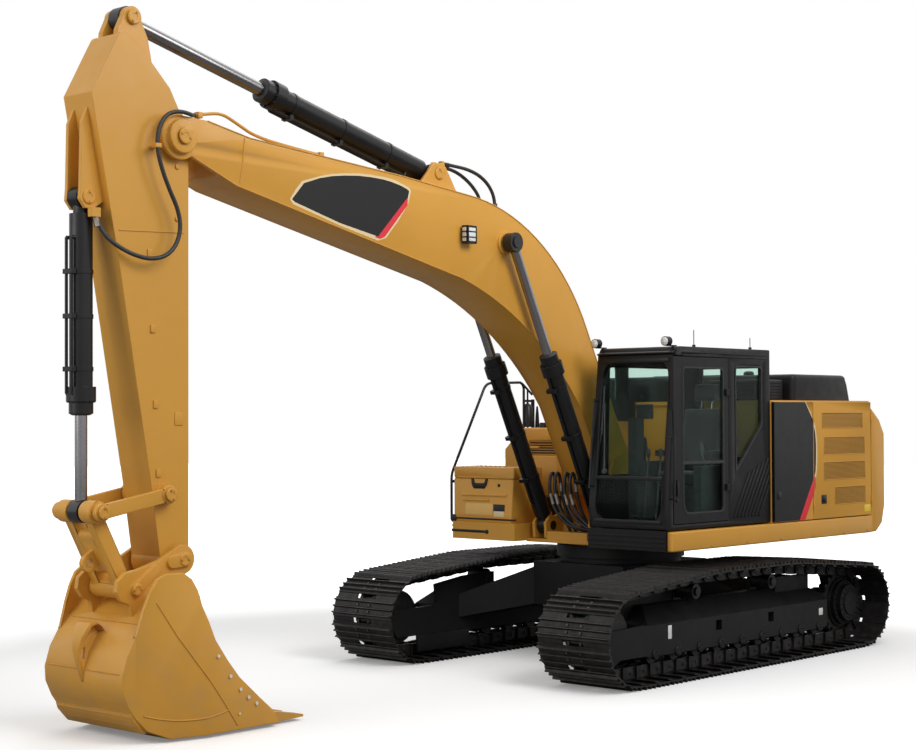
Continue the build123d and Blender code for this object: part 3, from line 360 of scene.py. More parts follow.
@dataclass(frozen=True)
class ClothFinish(Finish):
    """Woven seat cloth with a soft sheen."""

    thread: float = 520.0

    def write(self, tree: ShaderTree) -> None:
        """Write the weave of three sets of threads."""
        waves = [tree.node("TexWave", {"Vector": tree.place, "Scale": self.thread / 6.3, "Distortion": 0.3},
                           bands_direction=axis).outputs["Fac"] for axis in "XYZ"]
        weave = tree.times(tree.times(waves[0], waves[1]), waves[2])
        tree.feed({"Base Color": tree.blend(weave, self.colour, self.toned(1.25, 0.002)),
                   "Roughness": self.roughness, "Sheen Weight": 0.35, "Sheen Roughness": 0.4})
        tree.relief(weave, 0.1, 0.0004)


@dataclass(frozen=True)
class GlassFinish(Finish):
    """Tinted safety glass with a trace of haze."""

    ior: float = 1.12

    def write(self, tree: ShaderTree) -> None:
        """Write the glass."""
        tree.feed({"Base Color": self.colour, "Transmission Weight": 1.0, "IOR": self.ior,
                   "Roughness": tree.ramp(tree.noise(2.0, 3), 0.5, 0.9, 0.0, self.roughness)})


@dataclass(frozen=True)
class LensFinish(Finish):
    """Pale lamp lens or reflector sheet with prisms under the surface."""

    prism: float = 90.0

    def write(self, tree: ShaderTree) -> None:
        """Write the lens."""
        cells = tree.node("TexVoronoi", {"Vector": tree.place, "Scale": self.prism},
                          distance="CHEBYCHEV").outputs["Distance"]
        tree.feed({"Base Color": tree.blend(cells, self.colour, self.toned(0.72)), "Roughness": self.roughness,
                   "Coat Weight": 0.8, "Coat Roughness": 0.03})
        tree.relief(cells, 0.3, 0.001)


OCHRE = PaintFinish("ochre_paint", "paint", (0.64, 0.315, 0.045), 0.42, 0.15)
CHARCOAL = PaintFinish("charcoal_paint", "dark", (0.0085, 0.0078, 0.0085), 0.44, 0.05, 0.15, 0.04, gloss=0.2)
CYLINDER_BLACK = PaintFinish("cylinder_black", "dark", (0.009, 0.0085, 0.009), 0.36, 0.1, 0.2, 0.0, gloss=0.25)
FRAME_BLACK = PaintFinish("frame_black", "frame", (0.008, 0.008, 0.0085), 0.48, 0.0, 0.3, 0.06, 1.1,
                          gloss=0.2, dust_colour=(0.04, 0.035, 0.03))
SHOE_STEEL = SteelFinish("shoe_steel", "track", (0.01, 0.009, 0.009), 0.44, 0.35, 0.08,
                         rub_colour=(0.03, 0.026, 0.025))
# Rubbed steel of the shoe bolts and grouser crests; on the crests its lighter tone also stands in for their
# highlight, a painted highlight.
SHOE_WEAR_AND_SHINE = SteelFinish("shoe_wear", "track", (0.075, 0.062, 0.056), 0.36, 0.6, 0.05,
                        rub_colour=(0.12, 0.1, 0.09))
CAST_GREY = SteelFinish("cast_grey", "engine", (0.12, 0.12, 0.125), 0.6, 0.2, 0.1)
WORN_STEEL = SteelFinish("worn_steel", "track", (0.24, 0.21, 0.18), 0.38, 0.8, 0.3,
                         rub_colour=(0.45, 0.42, 0.38))
CHROME = ChromeFinish("bright_post", "rod", (0.26, 0.255, 0.26), 0.16)
BOOM_ROD = ChromeFinish("boom_rod", "rod", (0.32, 0.31, 0.315), 0.16, (2.06, 3.97), 0.092)
STICK_ROD = ChromeFinish("stick_rod", "rod", (0.26, 0.25, 0.25), 0.16, (6.18, 5.4), 0.096)
BUCKET_ROD = ChromeFinish("bucket_rod", "rod", (0.3, 0.29, 0.3), 0.16, (6.555, 1.69), 0.088)
RUBBER = MattFinish("hose_rubber", "rubber", (0.012, 0.012, 0.013), 0.5)
PLASTIC = MattFinish("moulded_plastic", "plastic", (0.03, 0.03, 0.032), 0.55, 0.35, 650.0)
CLOTH = ClothFinish("seat_cloth", "cloth", (0.035, 0.035, 0.04), 0.85)
GLASS = GlassFinish("tinted_glass", "glass", (0.7, 0.84, 0.78), 0.02)
LENS = LensFinish("lamp_lens", "glass", (0.85, 0.86, 0.84), 0.08)
REFLECTOR = LensFinish("reflector", "glass", (0.9, 0.9, 0.88), 0.2, 220.0)
PANEL_BLACK = PaintFinish("panel_black", "dark", (0.006, 0.006, 0.007), 0.34, 0.1, 0.1, 0.0, edge=0.0, gloss=0.25)
STRIPE_RED = PaintFinish("stripe_red", "paint", (0.72, 0.012, 0.028), 0.34, 0.5, 0.05, 0.0, edge=0.0)
LINE_CREAM = PaintFinish("line_cream", "paint", (0.78, 0.62, 0.36), 0.36, 0.4, 0.04, 0.0, edge=0.0)
PLATE_YELLOW = PaintFinish("plate_yellow", "paint", (0.86, 0.6, 0.05), 0.4, 0.2, 0.04, 0.0, edge=0.0)
HOLE_PALE = PaintFinish("hole_pale", "paint", (0.75, 0.72, 0.66), 0.6, 0.0, 0.05, 0.1, edge=0.0)
PANEL_TAN = PaintFinish("panel_tan", "paint", (0.76, 0.46, 0.13), 0.45, 0.15, edge=0.0)
# Painted shade: dark paint that stands for the shade in punched holes, at the back of the tank vent's recess and in
# the counterweight's seam.
PAINTED_SHADE = PaintFinish("grille_shade", "dark", (0.05, 0.028, 0.01), 0.7, 0.0, 0.1, 0.0, edge=0.0)


# ---- mesh writing
class Axis(Enum):
    """Axis that an outline is pushed along; the outline lies in the other two."""

    X = 0
    Y = 1
    Z = 2

    def place(self, u: float, v: float, w: float) -> Vector:
        """Point with outline coordinates u and v, and w along the axis."""
        return Vector({Axis.X: (w, u, v), Axis.Y: (u, w, v), Axis.Z: (u, v, w)}[self])


class Shape:
    """Gathers plain solids into one mesh and dresses it as a piece."""

    def __init__(self) -> None:
        """Start empty."""
        self.bm = bmesh.new()

    def box(self, low: Point, high: Point, turn: Matrix | None = None) -> Shape:
        """Add a box.

        Args:
            low: Lowest corner.
            high: Highest corner.
            turn: Turn about its centre.

        Returns:
            The shape itself.
        """
        centre = (Vector(low) + Vector(high)) / 2
        size = Vector(high) - Vector(low)
        place = Matrix.Translation(centre) @ (turn or Matrix()) @ Matrix.Diagonal((*size, 1.0))
        bmesh.ops.create_cube(self.bm, size=1.0, matrix=place)
        return self

    def block(self, x: Flat, y: Flat, z: Flat) -> Shape:
        """Add a box by its reach along each axis."""
        return self.box(*zip(x, y, z))

    def loft(self, rings: Sequence[Points]) -> Shape:
        """Add a closed skin over rings of points, with a face over each end."""
        loops = [[self.bm.verts.new(p) for p in ring] for ring in rings]
        faces = [self.bm.faces.new(loops[0][::-1]), self.bm.faces.new(loops[-1])]
        for near, far in zip(loops, loops[1:]):
            for i in range(len(near)):
                j = (i + 1) % len(near)
                faces.append(self.bm.faces.new((near[i], near[j], far[j], far[i])))
        bmesh.ops.recalc_face_normals(self.bm, faces=faces)
        return self

    def prism(self, outline: Outline, low: float, high: float, axis: Axis = Axis.Y) -> Shape:
        """Add an outline pushed from low to high along an axis."""
        return self.loft([[axis.place(u, v, w) for u, v in outline] for w in (low, high)])

    def frame(self, outer: Outline, inner: Outline, low: float, high: float, axis: Axis = Axis.Y) -> Shape:
        """Add the border between two outlines with like corners."""
        for (a, b), (d, c) in zip(round_pairs(outer), round_pairs(inner)):
            self.prism([a, b, c, d], low, high, axis)
        return self

    def rod(self, start: Point, end: Point, radius: float, sides: int = 24,
            end_radius: float | None = None) -> Shape:
        """Add a round bar or cone.

        Args:
            start: Middle of one end.
            end: Middle of the other.
            radius: Its radius.
            sides: Faces round it.
            end_radius: Radius at the end, where it differs.

        Returns:
            The shape itself.
        """
        a, b = Vector(start), Vector(end)
        turn = (b - a).to_track_quat("Z", "Y").to_matrix().to_4x4()
        bmesh.ops.create_cone(self.bm, cap_ends=True, segments=sides, radius1=radius,
                              radius2=radius if end_radius is None else end_radius, depth=(b - a).length,
                              matrix=Matrix.Translation((a + b) / 2) @ turn)
        return self

    def turned(self, centre: Point, axis: Point, profile: Outline, sides: int = 32) -> Shape:
        """Add a closed turned shape.

        Args:
            centre: Point where the distance along the axis is 0.
            axis: Direction of the axis.
            profile: Distance along the axis and radius, from one end to the other.
            sides: Faces round the axis.

        Returns:
            The shape itself.
        """
        frame = Matrix.Translation(centre) @ Vector(axis).to_track_quat("Z", "Y").to_matrix().to_4x4()
        turns = [2 * pi * i / sides for i in range(sides)]
        return self.loft([[frame @ Vector((r * cos(a), r * sin(a), run)) for a in turns]
                          for run, r in profile])

    def mesh(self, smooth_angle: float = 35.0, bevel: float = 0.0) -> Mesh:
        """Close the shape as a mesh.

        Args:
            smooth_angle: Edges flatter than this are shaded smooth, in degrees.
            bevel: Width of the rounded edges.

        Returns:
            The mesh.
        """
        if bevel:
            sharp = [e for e in self.bm.edges if len(e.link_faces) == 2
                     and e.calc_face_angle(0.0) > radians(smooth_angle)]
            bmesh.ops.bevel(self.bm, geom=sharp, offset=bevel, segments=2, affect="EDGES", profile=0.6,
                            clamp_overlap=True)
        made = bpy.data.meshes.new("shape")
        self.bm.to_mesh(made)
        self.bm.free()
        return shaded(made, smooth_angle)

    def piece(self, name: str, finish: Finish, body: str = "upper", angle: float = 35.0, bevel: float = 0.0,
              replaces: Sequence[str] = ()) -> Thing:
        """Close the shape as a piece, with what mesh and add_piece take."""
        return add_piece(name, self.mesh(angle, bevel), finish, body, replaces)


def add_piece(name: str, mesh: Mesh, finish: Finish, body: str, replaces: Sequence[str] = ()) -> Thing:
    """Put a mesh in the scene as a piece of the machine.

    Args:
        name: Name of the piece.
        mesh: Its mesh, in place.
        finish: Its finish.
        body: Body that it moves with.
        replaces: Nodes that it stands for.

    Returns:
        The piece.
    """
    piece = add_object(name, mesh)
    dress(piece, finish)
    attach(piece, body)
    if replaces:
        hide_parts(*replaces)
    LOG.info("piece %s on %s, %d faces", name, body, len(mesh.polygons))
    return piece


def dress(piece: Thing, finish: Finish) -> None:
    """Give a piece its one material."""
    piece.data.materials.clear()
    piece.data.materials.append(finish.material())


# ---- geometry nodes
class GeometryTree(NodeTree):
    """Writes one Geometry Nodes tree with named inputs."""

    def __init__(self, name: str) -> None:
        """Start a tree of a name that takes and gives geometry."""
        self.group = bpy.data.node_groups.new(name, "GeometryNodeTree")
        super().__init__(self.group)
        for way in ("INPUT", "OUTPUT"):
            self.group.interface.new_socket("Geometry", in_out=way, socket_type="NodeSocketGeometry")
        self.entry, self.exit = self.node("NodeGroupInput"), self.node("NodeGroupOutput")

    def size(self, label: str, kind: str = "Float") -> Socket:
        """Add a named input and return its socket inside the tree."""
        self.group.interface.new_socket(label, in_out="INPUT", socket_type=f"NodeSocket{kind}")
        return self.entry.outputs[label]

    def carried(self, label: str) -> Socket:
        """Vector that the points carry under a name."""
        return self.node("GeometryNodeInputNamedAttribute", {"Name": label}, data_type="FLOAT_VECTOR").outputs[0]

    def close(self, geometry: Socket) -> GeometryTree:
        """End the tree with realized instances and their material."""
        real = self.node("GeometryNodeRealizeInstances", {0: geometry}).outputs[0]
        dressed = self.node("GeometryNodeSetMaterial", {0: real, "Material": self.size("material", "Material")})
        self.links.new(dressed.outputs[0], self.exit.inputs[0])
        return self

    def spread(self, pattern: Socket, turn: Socket | None = None) -> GeometryTree:
        """End the tree with a pattern on every point, turned or along its 'aim'."""
        if turn is None:
            turn = self.node("FunctionNodeAlignRotationToVector", {"Vector": self.carried("aim")},
                             axis="Z").outputs[0]
        return self.close(self.node("GeometryNodeInstanceOnPoints", {
            "Points": self.entry.outputs[0], "Instance": pattern, "Rotation": turn}).outputs[0])

    def piece(self, name: str, host: Mesh, finish: Finish, body: str, angle: float,
              replaces: Sequence[str] = (), **sizes: object) -> Thing:
        """Run the tree on a mesh, and dress what it makes as a piece.

        Args:
            name: Name of the piece.
            host: Mesh that the tree starts from.
            finish: Finish of the piece.
            body: Body that it moves with.
            angle: Edges flatter than this are shaded smooth, in degrees.
            replaces: Nodes that it stands for.
            sizes: Values of the named inputs.

        Returns:
            The piece.
        """
        holder = add_object(name, host)
        modifier = tuned(holder.modifiers.new("tree", "NODES"), node_group=self.group)
        sizes["material"] = finish.material()
        for item in self.group.interface.items_tree:
            if item.item_type == "SOCKET" and item.in_out == "INPUT" and item.name in sizes:
                modifier[item.identifier] = sizes[item.name]
        made = applied(holder)
        bpy.data.objects.remove(holder)
        return add_piece(name, shaded(made, angle), finish, body, replaces)


def point_mesh(spots: Points, **vectors: Points) -> Mesh:
    """Mesh of loose points that carry named vectors."""
    made = bpy.data.meshes.new("points")
    made.from_pydata([tuple(p) for p in spots], [], [])
    for label, values in vectors.items():
        made.attributes.new(label, "FLOAT_VECTOR", "POINT").data.foreach_set("vector", [c for v in values for c in v])
    return made


def stud_tree() -> GeometryTree:
    """Tree that sets a washer and a bolt head on every point, along its 'aim'."""
    tree = GeometryTree("studs")
    radius, height, sides = tree.size("radius"), tree.size("height"), tree.size("sides", "Int")
    head = tree.node("GeometryNodeMeshCylinder", {"Vertices": sides, "Radius": radius, "Depth": height})
    lift = tree.node("CombineXYZ", {"Z": tree.times(height, 0.5)})
    raised = tree.node("GeometryNodeTransform", {"Geometry": head.outputs[0], "Translation": lift.outputs[0]})
    washer = tree.node("GeometryNodeMeshCylinder", {
        "Vertices": 12, "Radius": tree.times(radius, 1.45), "Depth": tree.times(height, 0.25)})
    both = tree.node("GeometryNodeJoinGeometry")
    for part in (raised, washer):
        tree.links.new(part.outputs[0], both.inputs[0])
    return tree.spread(both.outputs[0])


def chain_tree() -> GeometryTree:
    """Tree that sets a link on every point, X along 'run' and Z along 'out'."""
    tree = GeometryTree("chain")
    link = tree.node("GeometryNodeObjectInfo", {"Object": tree.size("link", "Object")})
    turn = tree.node("FunctionNodeAxesToRotation", {
        "Primary Axis": tree.carried("run"), "Secondary Axis": tree.carried("out")},
        primary_axis="X", secondary_axis="Z")
    return tree.spread(link.outputs["Geometry"], turn.outputs[0])


def hole_tree() -> GeometryTree:
    """Tree that sets a thin dark disc on every point: painted shade that stands for a punched hole."""
    tree = GeometryTree("perforation")
    return tree.spread(tree.node("GeometryNodeMeshCylinder", {
        "Vertices": 6, "Radius": tree.size("radius"), "Depth": 0.0018}).outputs[0])


def weld_tree() -> GeometryTree:
    """Tree that lays a rippled weld bead along the edges of a mesh."""
    tree = GeometryTree("weld")
    radius = tree.size("radius")
    path = tree.node("GeometryNodeMeshToCurve", {0: tree.entry.outputs[0]}).outputs[0]
    even = tree.node("GeometryNodeResampleCurve", {0: path, "Length": tree.size("ripple")}, mode="LENGTH").outputs[0]
    index = tree.node("GeometryNodeInputIndex").outputs[0]
    wave = tree.node("Math", {0: index, 1: 2.0}, operation="MODULO").outputs[0]
    swell = tree.node("MapRange", {"Value": wave, "To Min": 0.85, "To Max": 1.1}).outputs[0]
    ring = tree.node("GeometryNodeCurvePrimitiveCircle", {"Resolution": 6, "Radius": 1.0}).outputs[0]
    return tree.close(tree.node("GeometryNodeCurveToMesh", {
        "Curve": even, "Profile Curve": ring, "Scale": tree.times(swell, radius), "Fill Caps": True}).outputs[0])


class Trees:
    """The Geometry Nodes trees of the machine, written once each."""

    def __init__(self) -> None:
        """Write every tree."""
        self.studs, self.chain, self.holes, self.weld = stud_tree(), chain_tree(), hole_tree(), weld_tree()

    def bolts(self, name: str, spots: Points, aims: Points | Point, radius: float,
              finish: Finish, body: str = "upper", height: float = 0.0, sides: int = 6) -> Thing:
        """Set bolt heads on a body.

        Args:
            name: Name of the piece.
            spots: Foot of each bolt head.
            aims: Direction of each head, or one for all.
            radius: Radius of a head.
            finish: Finish of the heads.
            body: Body that they sit on.
            height: Height of a head; 0 takes it from the radius.
            sides: Flats of a head.

        Returns:
            The piece.
        """
        if isinstance(aims[0], (int, float)):
            aims = [aims] * len(spots)
        return self.studs.piece(name, point_mesh(spots, aim=aims), finish, body, 20.0, radius=radius,
                                height=height or radius * 0.9, sides=sides)

    def punch(self, name: str, spots: Points, aim: Point, radius: float, body: str) -> Thing:
        """Punch rows of small holes in a face, drawn as thin discs of painted shade."""
        host = point_mesh(spots, aim=[aim] * len(spots))
        return self.holes.piece(name, host, PAINTED_SHADE, body, 20.0, radius=radius)

    def bead(self, name: str, lines: Sequence[Points], body: str, radius: float = 0.006) -> Thing:
        """Lay weld beads along open lines.

        Args:
            name: Name of the piece.
            lines: Points of each line.
            body: Body that it moves with.
            radius: Radius of a bead.

        Returns:
            The piece.
        """
        host = bpy.data.meshes.new(name)
        spots, edges = [], []
        for line in lines:
            first = len(spots)
            spots += [tuple(p) for p in line]
            edges += [(first + i, first + i + 1) for i in range(len(line) - 1)]
        host.from_pydata(spots, edges, [])
        return self.weld.piece(name, host, OCHRE, body, 60.0, radius=radius, ripple=radius * 1.3)


def circle_spots(centre: Point, axis: Axis, radius: float, count: int, start: float = 0.0) -> list[Point]:
    """Points evenly round a circle that faces along an axis."""
    turns = [start + 2 * pi * i / count for i in range(count)]
    return [tuple(Vector(centre) + axis.place(radius * cos(a), radius * sin(a), 0.0)) for a in turns]


# ---- frame nodes
NODE_FINISHES: dict[Finish, tuple[str, ...]] = {  # the rest is ochre
    CHARCOAL: (
        "cab_frame", "cab_door", "engine_hood", "intake_box", "exhaust_stack", "cab_front_panel", "access_step"),
    CYLINDER_BLACK: (
        "boom_cylinder_left_barrel", "boom_cylinder_right_barrel", "stick_cylinder_barrel",
        "bucket_cylinder_barrel", "handrail", "mirror", "cab_roof_fittings", "boom_lamp"),
    SHOE_STEEL: ("idlers", "sprockets", "track_rollers", "carrier_rollers", "track_left", "track_right"),
    FRAME_BLACK: ("carbody", "swing_ring", "track_frame_left", "track_frame_right", "final_drives"),
    BOOM_ROD: ("boom_cylinder_left_rod", "boom_cylinder_right_rod"),
    STICK_ROD: ("stick_cylinder_rod",),
    BUCKET_ROD: ("bucket_cylinder_rod",),
    RUBBER: ("boom_hoses", "bucket_hose", "valve_hoses"),
    GLASS: ("cab_glass", "cab_door_glass"),
    PLASTIC: ("seat_base", "left_console", "right_console"),
    CLOTH: ("seat_cushion", "seat_back"),
    CAST_GREY: ("engine",),
}


def dress_frame(nodes: dict[str, Thing]) -> None:
    """Give every node of the frame, by its name, its finish."""
    known = {name: finish for finish, names in NODE_FINISHES.items() for name in names}
    for name, node in nodes.items():
        slots, material = node.data.materials, known.get(name, OCHRE).material()
        for i in range(len(slots)):
            slots[i] = material
        if not slots:
            slots.append(material)


@dataclass(frozen=True)
class Rounding:
    """Copies of frame nodes with rolled edges, which stand for the sharp ones."""

    finish: Finish
    body: str                # "{}" for the body of the node's own name
    widths: tuple[tuple[str, float], ...]
    plain: bool = True  # no face of the nodes has an opening in it
    flat: float = 0.6        # faces that turn by less than this are one, in degrees
    limit: float = 32.0      # edges that turn by more than this are rolled, in degrees

    def build(self) -> None:
        """Round every node of the list."""
        for node, width in self.widths:
            work = merged_copy(bpy.data.objects[node].data)
            if self.plain:
                bmesh.ops.dissolve_limit(work, angle_limit=radians(self.flat), verts=work.verts,
                                         edges=work.edges)
            mesh = bpy.data.meshes.new(f"{node}_skin")
            work.to_mesh(mesh)
            work.free()
            holder = add_object(f"{node}_skin", shaded(mesh))
            tuned(holder.modifiers.new("edges", "BEVEL"), width=width, segments=3, limit_method="ANGLE",
                  angle_limit=radians(self.limit), use_clamp_overlap=False, harden_normals=True,
                  miter_outer="MITER_ARC")
            made = applied(holder)
            bpy.data.objects.remove(holder)
            add_piece(f"{node}_skin", made, self.finish, self.body.format(node), [node])


ROUNDINGS = (
    Rounding(OCHRE, "upper", (
        ("side_skirt_left", 0.016), ("side_skirt_right", 0.016), ("counterweight", 0.022),
        ("fuel_tank", 0.018), ("hydraulic_tank", 0.018))),
    Rounding(OCHRE, "{}", (("boom", 0.01), ("bucket", 0.005), ("idler_links", 0.006))),
    Rounding(CHARCOAL, "upper", (("intake_box", 0.016), ("access_step", 0.01))),
    Rounding(CHARCOAL, "upper", (("cab_frame", 0.014),), plain=False),
    Rounding(OCHRE, "upper", (("tool_box", 0.014),), plain=False),
    Rounding(OCHRE, "{}", (
        ("tool_box_lid", 0.016), ("rear_left_door", 0.005), ("rear_right_door", 0.005),
        ("middle_left_door", 0.005), ("middle_right_door", 0.005), ("power_link", 0.004)), plain=False),
)


# ---- running gear
@dataclass(frozen=True)
class Wheel:
    """Round thing that the chain runs over, in the XZ plane."""

    x: float
    z: float
    r: float

    def at(self, turn: float) -> Flat:
        """Point of the rim at an angle."""
        return self.x + self.r * cos(turn), self.z + self.r * sin(turn)


class Belt:
    """Closed run of the chain pins round the wheels inside it."""

    def __init__(self, wheels: Sequence[Wheel]) -> None:
        """Work out the stretches between and on the wheels, in their order."""
        leads = []
        for a, b in round_pairs(wheels):
            gap = hypot(b.x - a.x, b.z - a.z)
            leads.append((a, b, atan2(b.z - a.z, b.x - a.x) - pi / 2 + asin((a.r - b.r) / gap)))
        self.parts: list[tuple[float, Callable[[float], Flat]]] = []
        for (a, b, aim), (_, _, following) in round_pairs(leads):
            self.add_line(a.at(aim), b.at(aim))
            self.add_arc(b, aim, (following - aim) % (2 * pi))
        self.length = sum(run for run, _ in self.parts)

    def add_line(self, start: Flat, end: Flat) -> None:
        """Add the straight between two points."""
        run = dist(start, end)
        self.parts.append((run, lambda s: tuple(a + (b - a) * s / run for a, b in zip(start, end))))

    def add_arc(self, wheel: Wheel, start: float, turn: float) -> None:
        """Add the stretch that lies on a wheel."""
        self.parts.append((wheel.r * turn, lambda s: wheel.at(start + s / wheel.r)))

    def spot(self, run: float) -> Flat:
        """Point of the belt at a run along it."""
        run %= self.length
        for length, place in self.parts:
            if run <= length:
                return place(run)
            run -= length
        return self.parts[0][1](0.0)


@dataclass
class RunningGear:
    """Track shoes, chains and the small parts of the undercarriage."""

    trees: Trees
    shoe_count: int = 50
    first_pin: float = 0.35  # share of a pitch from the belt's start
    tip_reach: float = 0.105         # grouser tips beyond the chain pins
    grouser: float = 0.027
    plate: float = 0.014
    carrier_r: float = 0.07
    carrier_lift: float = 0.872      # pins over the carrier rollers
    carrier_bend: float = 0.16
    rail_y: float = 0.077
    rail_top: float = 0.062
    rail_foot: float = 0.05
    rail_thick: float = 0.021
    rail_crank: float = 0.011
    bolt_r: float = 0.013
    rollers: int = 9
    body: str = "undercarriage"
    roller_pitch: float = 0.35

    def __post_init__(self) -> None:
        """Take the wheel places from the frame."""
        low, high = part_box("idlers")
        front, self.axle_z = (low.x + high.x) / 2, (low.z + high.z) / 2
        self.rear = middle("final_drives").x
        low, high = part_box("carrier_rollers")
        pin_r, bend = self.axle_z - self.tip_reach, self.carrier_bend
        self.belt = Belt([
            Wheel(self.rear, self.axle_z, pin_r), Wheel(front, self.axle_z, pin_r),
            Wheel(high.x - self.carrier_r, self.carrier_lift - bend, bend),
            Wheel(low.x + self.carrier_r, self.carrier_lift - bend, bend),
        ])
        self.pitch = self.belt.length / self.shoe_count
        self.face = self.tip_reach - self.grouser
        self.half = abs(middle("track_left").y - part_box("track_left")[0].y)

    def build(self) -> None:
        """Build both tracks and the fittings of their frames."""
        patterns = [("shoes", self.shoe_mesh(), SHOE_STEEL), ("chain", self.link_mesh(), SHOE_STEEL),
                    *self.shoe_trims()]
        for side, out in NAMED_SIDES:
            y = middle(f"track_{side}").y
            for name, mesh, finish in patterns:
                self.run_chain(f"{name}_{side}", mesh, y, finish, [f"track_{side}"] if name == "shoes" else ())
            self.fit_frame(side, y, out)

    def run_chain(self, name: str, link: Mesh, y: float, finish: Finish, replaces: Sequence[str]) -> None:
        """Repeat one link round the belt.

        Args:
            name: Name of the piece.
            link: The link, its run along X and outward along Z.
            y: Y of the track's middle.
            finish: Finish of the links.
            replaces: Nodes that they stand for.
        """
        pins = [self.belt.spot(self.pitch * (i + self.first_pin)) for i in range(self.shoe_count)]
        runs = [Vector((b[0] - a[0], 0.0, b[1] - a[1])).normalized() for a, b in round_pairs(pins)]
        host = point_mesh([(x, y, z) for x, z in pins], run=runs, out=[(run.z, 0.0, -run.x) for run in runs])
        pattern = bpy.data.objects.new("pattern", link)
        self.trees.chain.piece(name, host, finish, self.body, 35.0, replaces, link=pattern)
        bpy.data.objects.remove(pattern)

    def shoe_mesh(self) -> Mesh:
        """One shoe with three grousers, its run along X and outward along Z."""
        p, face, tip = self.pitch, self.face, self.tip_reach
        lip = face - self.plate
        front = ((0.02, lip), (0.035, face - 0.003), (0.13, face), (0.155, tip - 0.004), (0.17, tip), (0.2, tip),
                 (0.245, face), (0.44, face), (0.475, tip - 0.004), (0.485, tip - 0.002))
        shares = (*front, *((1 - share, z) for share, z in reversed(front)))
        shape = Shape().prism([(p * share, z) for share, z in shares], -self.half + 0.004, self.half - 0.004)
        for side in SIDES:
            shape.prism([(p * 0.9, lip - 0.012), (p + 0.042, lip - 0.022), (p + 0.042, lip - 0.014),
                         (p * 0.965, lip - 0.002), (p * 0.9, lip)],
                        *span(0, side, self.rail_y + 0.045, self.half - 0.006))
        return shape.mesh(25.0)

    def link_mesh(self) -> Mesh:
        """One link: two cranked rail plates, a pin and a bush."""
        p, top, foot, thick = self.pitch, self.rail_top, self.rail_foot, self.rail_thick / 2
        near = [(-0.036, -0.02), (-0.02, -foot + 0.008), (0.02, -foot), (p * 0.55, -foot), (p * 0.55, top),
                (0.03, top), (-0.02, 0.042), (-0.036, 0.02)]
        far = [(p * 0.5, -foot), (p - 0.02, -foot), (p + 0.02, -foot + 0.008), (p + 0.036, -0.02),
               (p + 0.036, 0.02), (p + 0.02, 0.042), (p - 0.03, top), (p * 0.5, top)]
        shape = Shape()
        for side in SIDES:
            for outline, shift in ((near, self.rail_crank), (far, -self.rail_crank)):
                y = self.rail_y + shift
                shape.prism(outline, *span(0, side, y - thick, y + thick))
        for reach, radius in ((self.rail_y + 0.03, 0.019), (self.rail_y - 0.02, 0.031)):
            shape.rod((0, -reach, 0), (0, reach, 0), radius, 14)
        return shape.mesh(30.0)

    def shoe_trims(self) -> list[tuple[str, Mesh, Finish]]:
        """Bolts, rubbed grouser crests, lighter also as a painted highlight, and mud holes in painted shade, of one
        shoe.

        Returns:
            Name, mesh and finish of each.
        """
        p, y, half, face = self.pitch, self.rail_y, self.half - 0.01, self.face
        bolts, edges, slots = Shape(), Shape(), Shape()
        for x in (p * 0.345, p * 0.655):
            for at in (-y, y):
                bolts.rod((x, at, face - 0.002), (x, at, face + 0.011), self.bolt_r, 6, self.bolt_r * 0.94)
        # Crest strips of rubbed steel, lighter also as a painted highlight.
        for start, end, top in ((0.172, 0.198, 0.0), (0.487, 0.513, -0.002), (0.802, 0.828, 0.0)):
            top += self.tip_reach
            edges.block((p * start, p * end), (-half, half), (top - 0.003, top + 0.0006))
        # The mud holes are black blocks: painted shade in the holes.
        for side in SIDES:
            slots.block((p * 0.56, p * 0.74), about(side * y * 0.48, 0.024), (face - 0.004, face + 0.0015))
        return [("shoe_bolts", bolts.mesh(20.0), SHOE_WEAR_AND_SHINE), ("shoe_edges", edges.mesh(20.0), SHOE_WEAR_AND_SHINE),
                ("shoe_slots", slots.mesh(20.0), PANEL_BLACK)]

    def fit_frame(self, side: str, y: float, out: float) -> None:
        """Reflectors, covers, hub bolts and roller caps of one track frame.

        Args:
            side: Name of the side.
            y: Y of the track's middle.
            out: 1 on the left, -1 on the right.
        """
        face, body, aim = y + out * 0.152, self.body, (0, out, 0)
        marks = Shape()
        for x, z in (((1.152, 1.206), (0.361, 0.482)), ((-1.47, -1.395), (0.355, 0.424))):
            marks.block(x, span(face, out, 0, 0.003), z)
        marks.piece(f"frame_reflectors_{side}", REFLECTOR, body, bevel=0.0008)
        hub = circle_spots((self.rear, y + out * 0.158, self.axle_z), Axis.Y, 0.15, 16)
        hub += circle_spots((self.rear, y + out * 0.105, self.axle_z), Axis.Y, 0.205, 24)
        self.trees.bolts(f"drive_bolts_{side}", hub, aim, 0.011, FRAME_BLACK, body)
        caps, studs = Shape(), []
        z = self.tip_reach + 0.052 + 0.084
        for i in range(self.rollers):
            x = -1.4 + self.roller_pitch * i
            caps.turned((x, face, z), aim, [(-0.012, 0.05), (0.008, 0.05), (0.014, 0.044), (0.014, 0.0005)], 20)
            studs += circle_spots((x, face + out * 0.014, z), Axis.Y, 0.03, 3, i * 0.7)
        caps.piece(f"roller_caps_{side}", FRAME_BLACK, body)
        guards = Shape().block((-1.42, -0.8), about(y, 0.015), (0.6, 0.77))
        guards.block((1.05, 1.8), span(y, out, -0.18, -0.15), (0.08, 0.24))
        guards.piece(f"frame_guards_{side}", FRAME_BLACK, body, bevel=0.004)
        self.trees.bolts(f"roller_cap_bolts_{side}", studs, aim, 0.006, FRAME_BLACK, body)


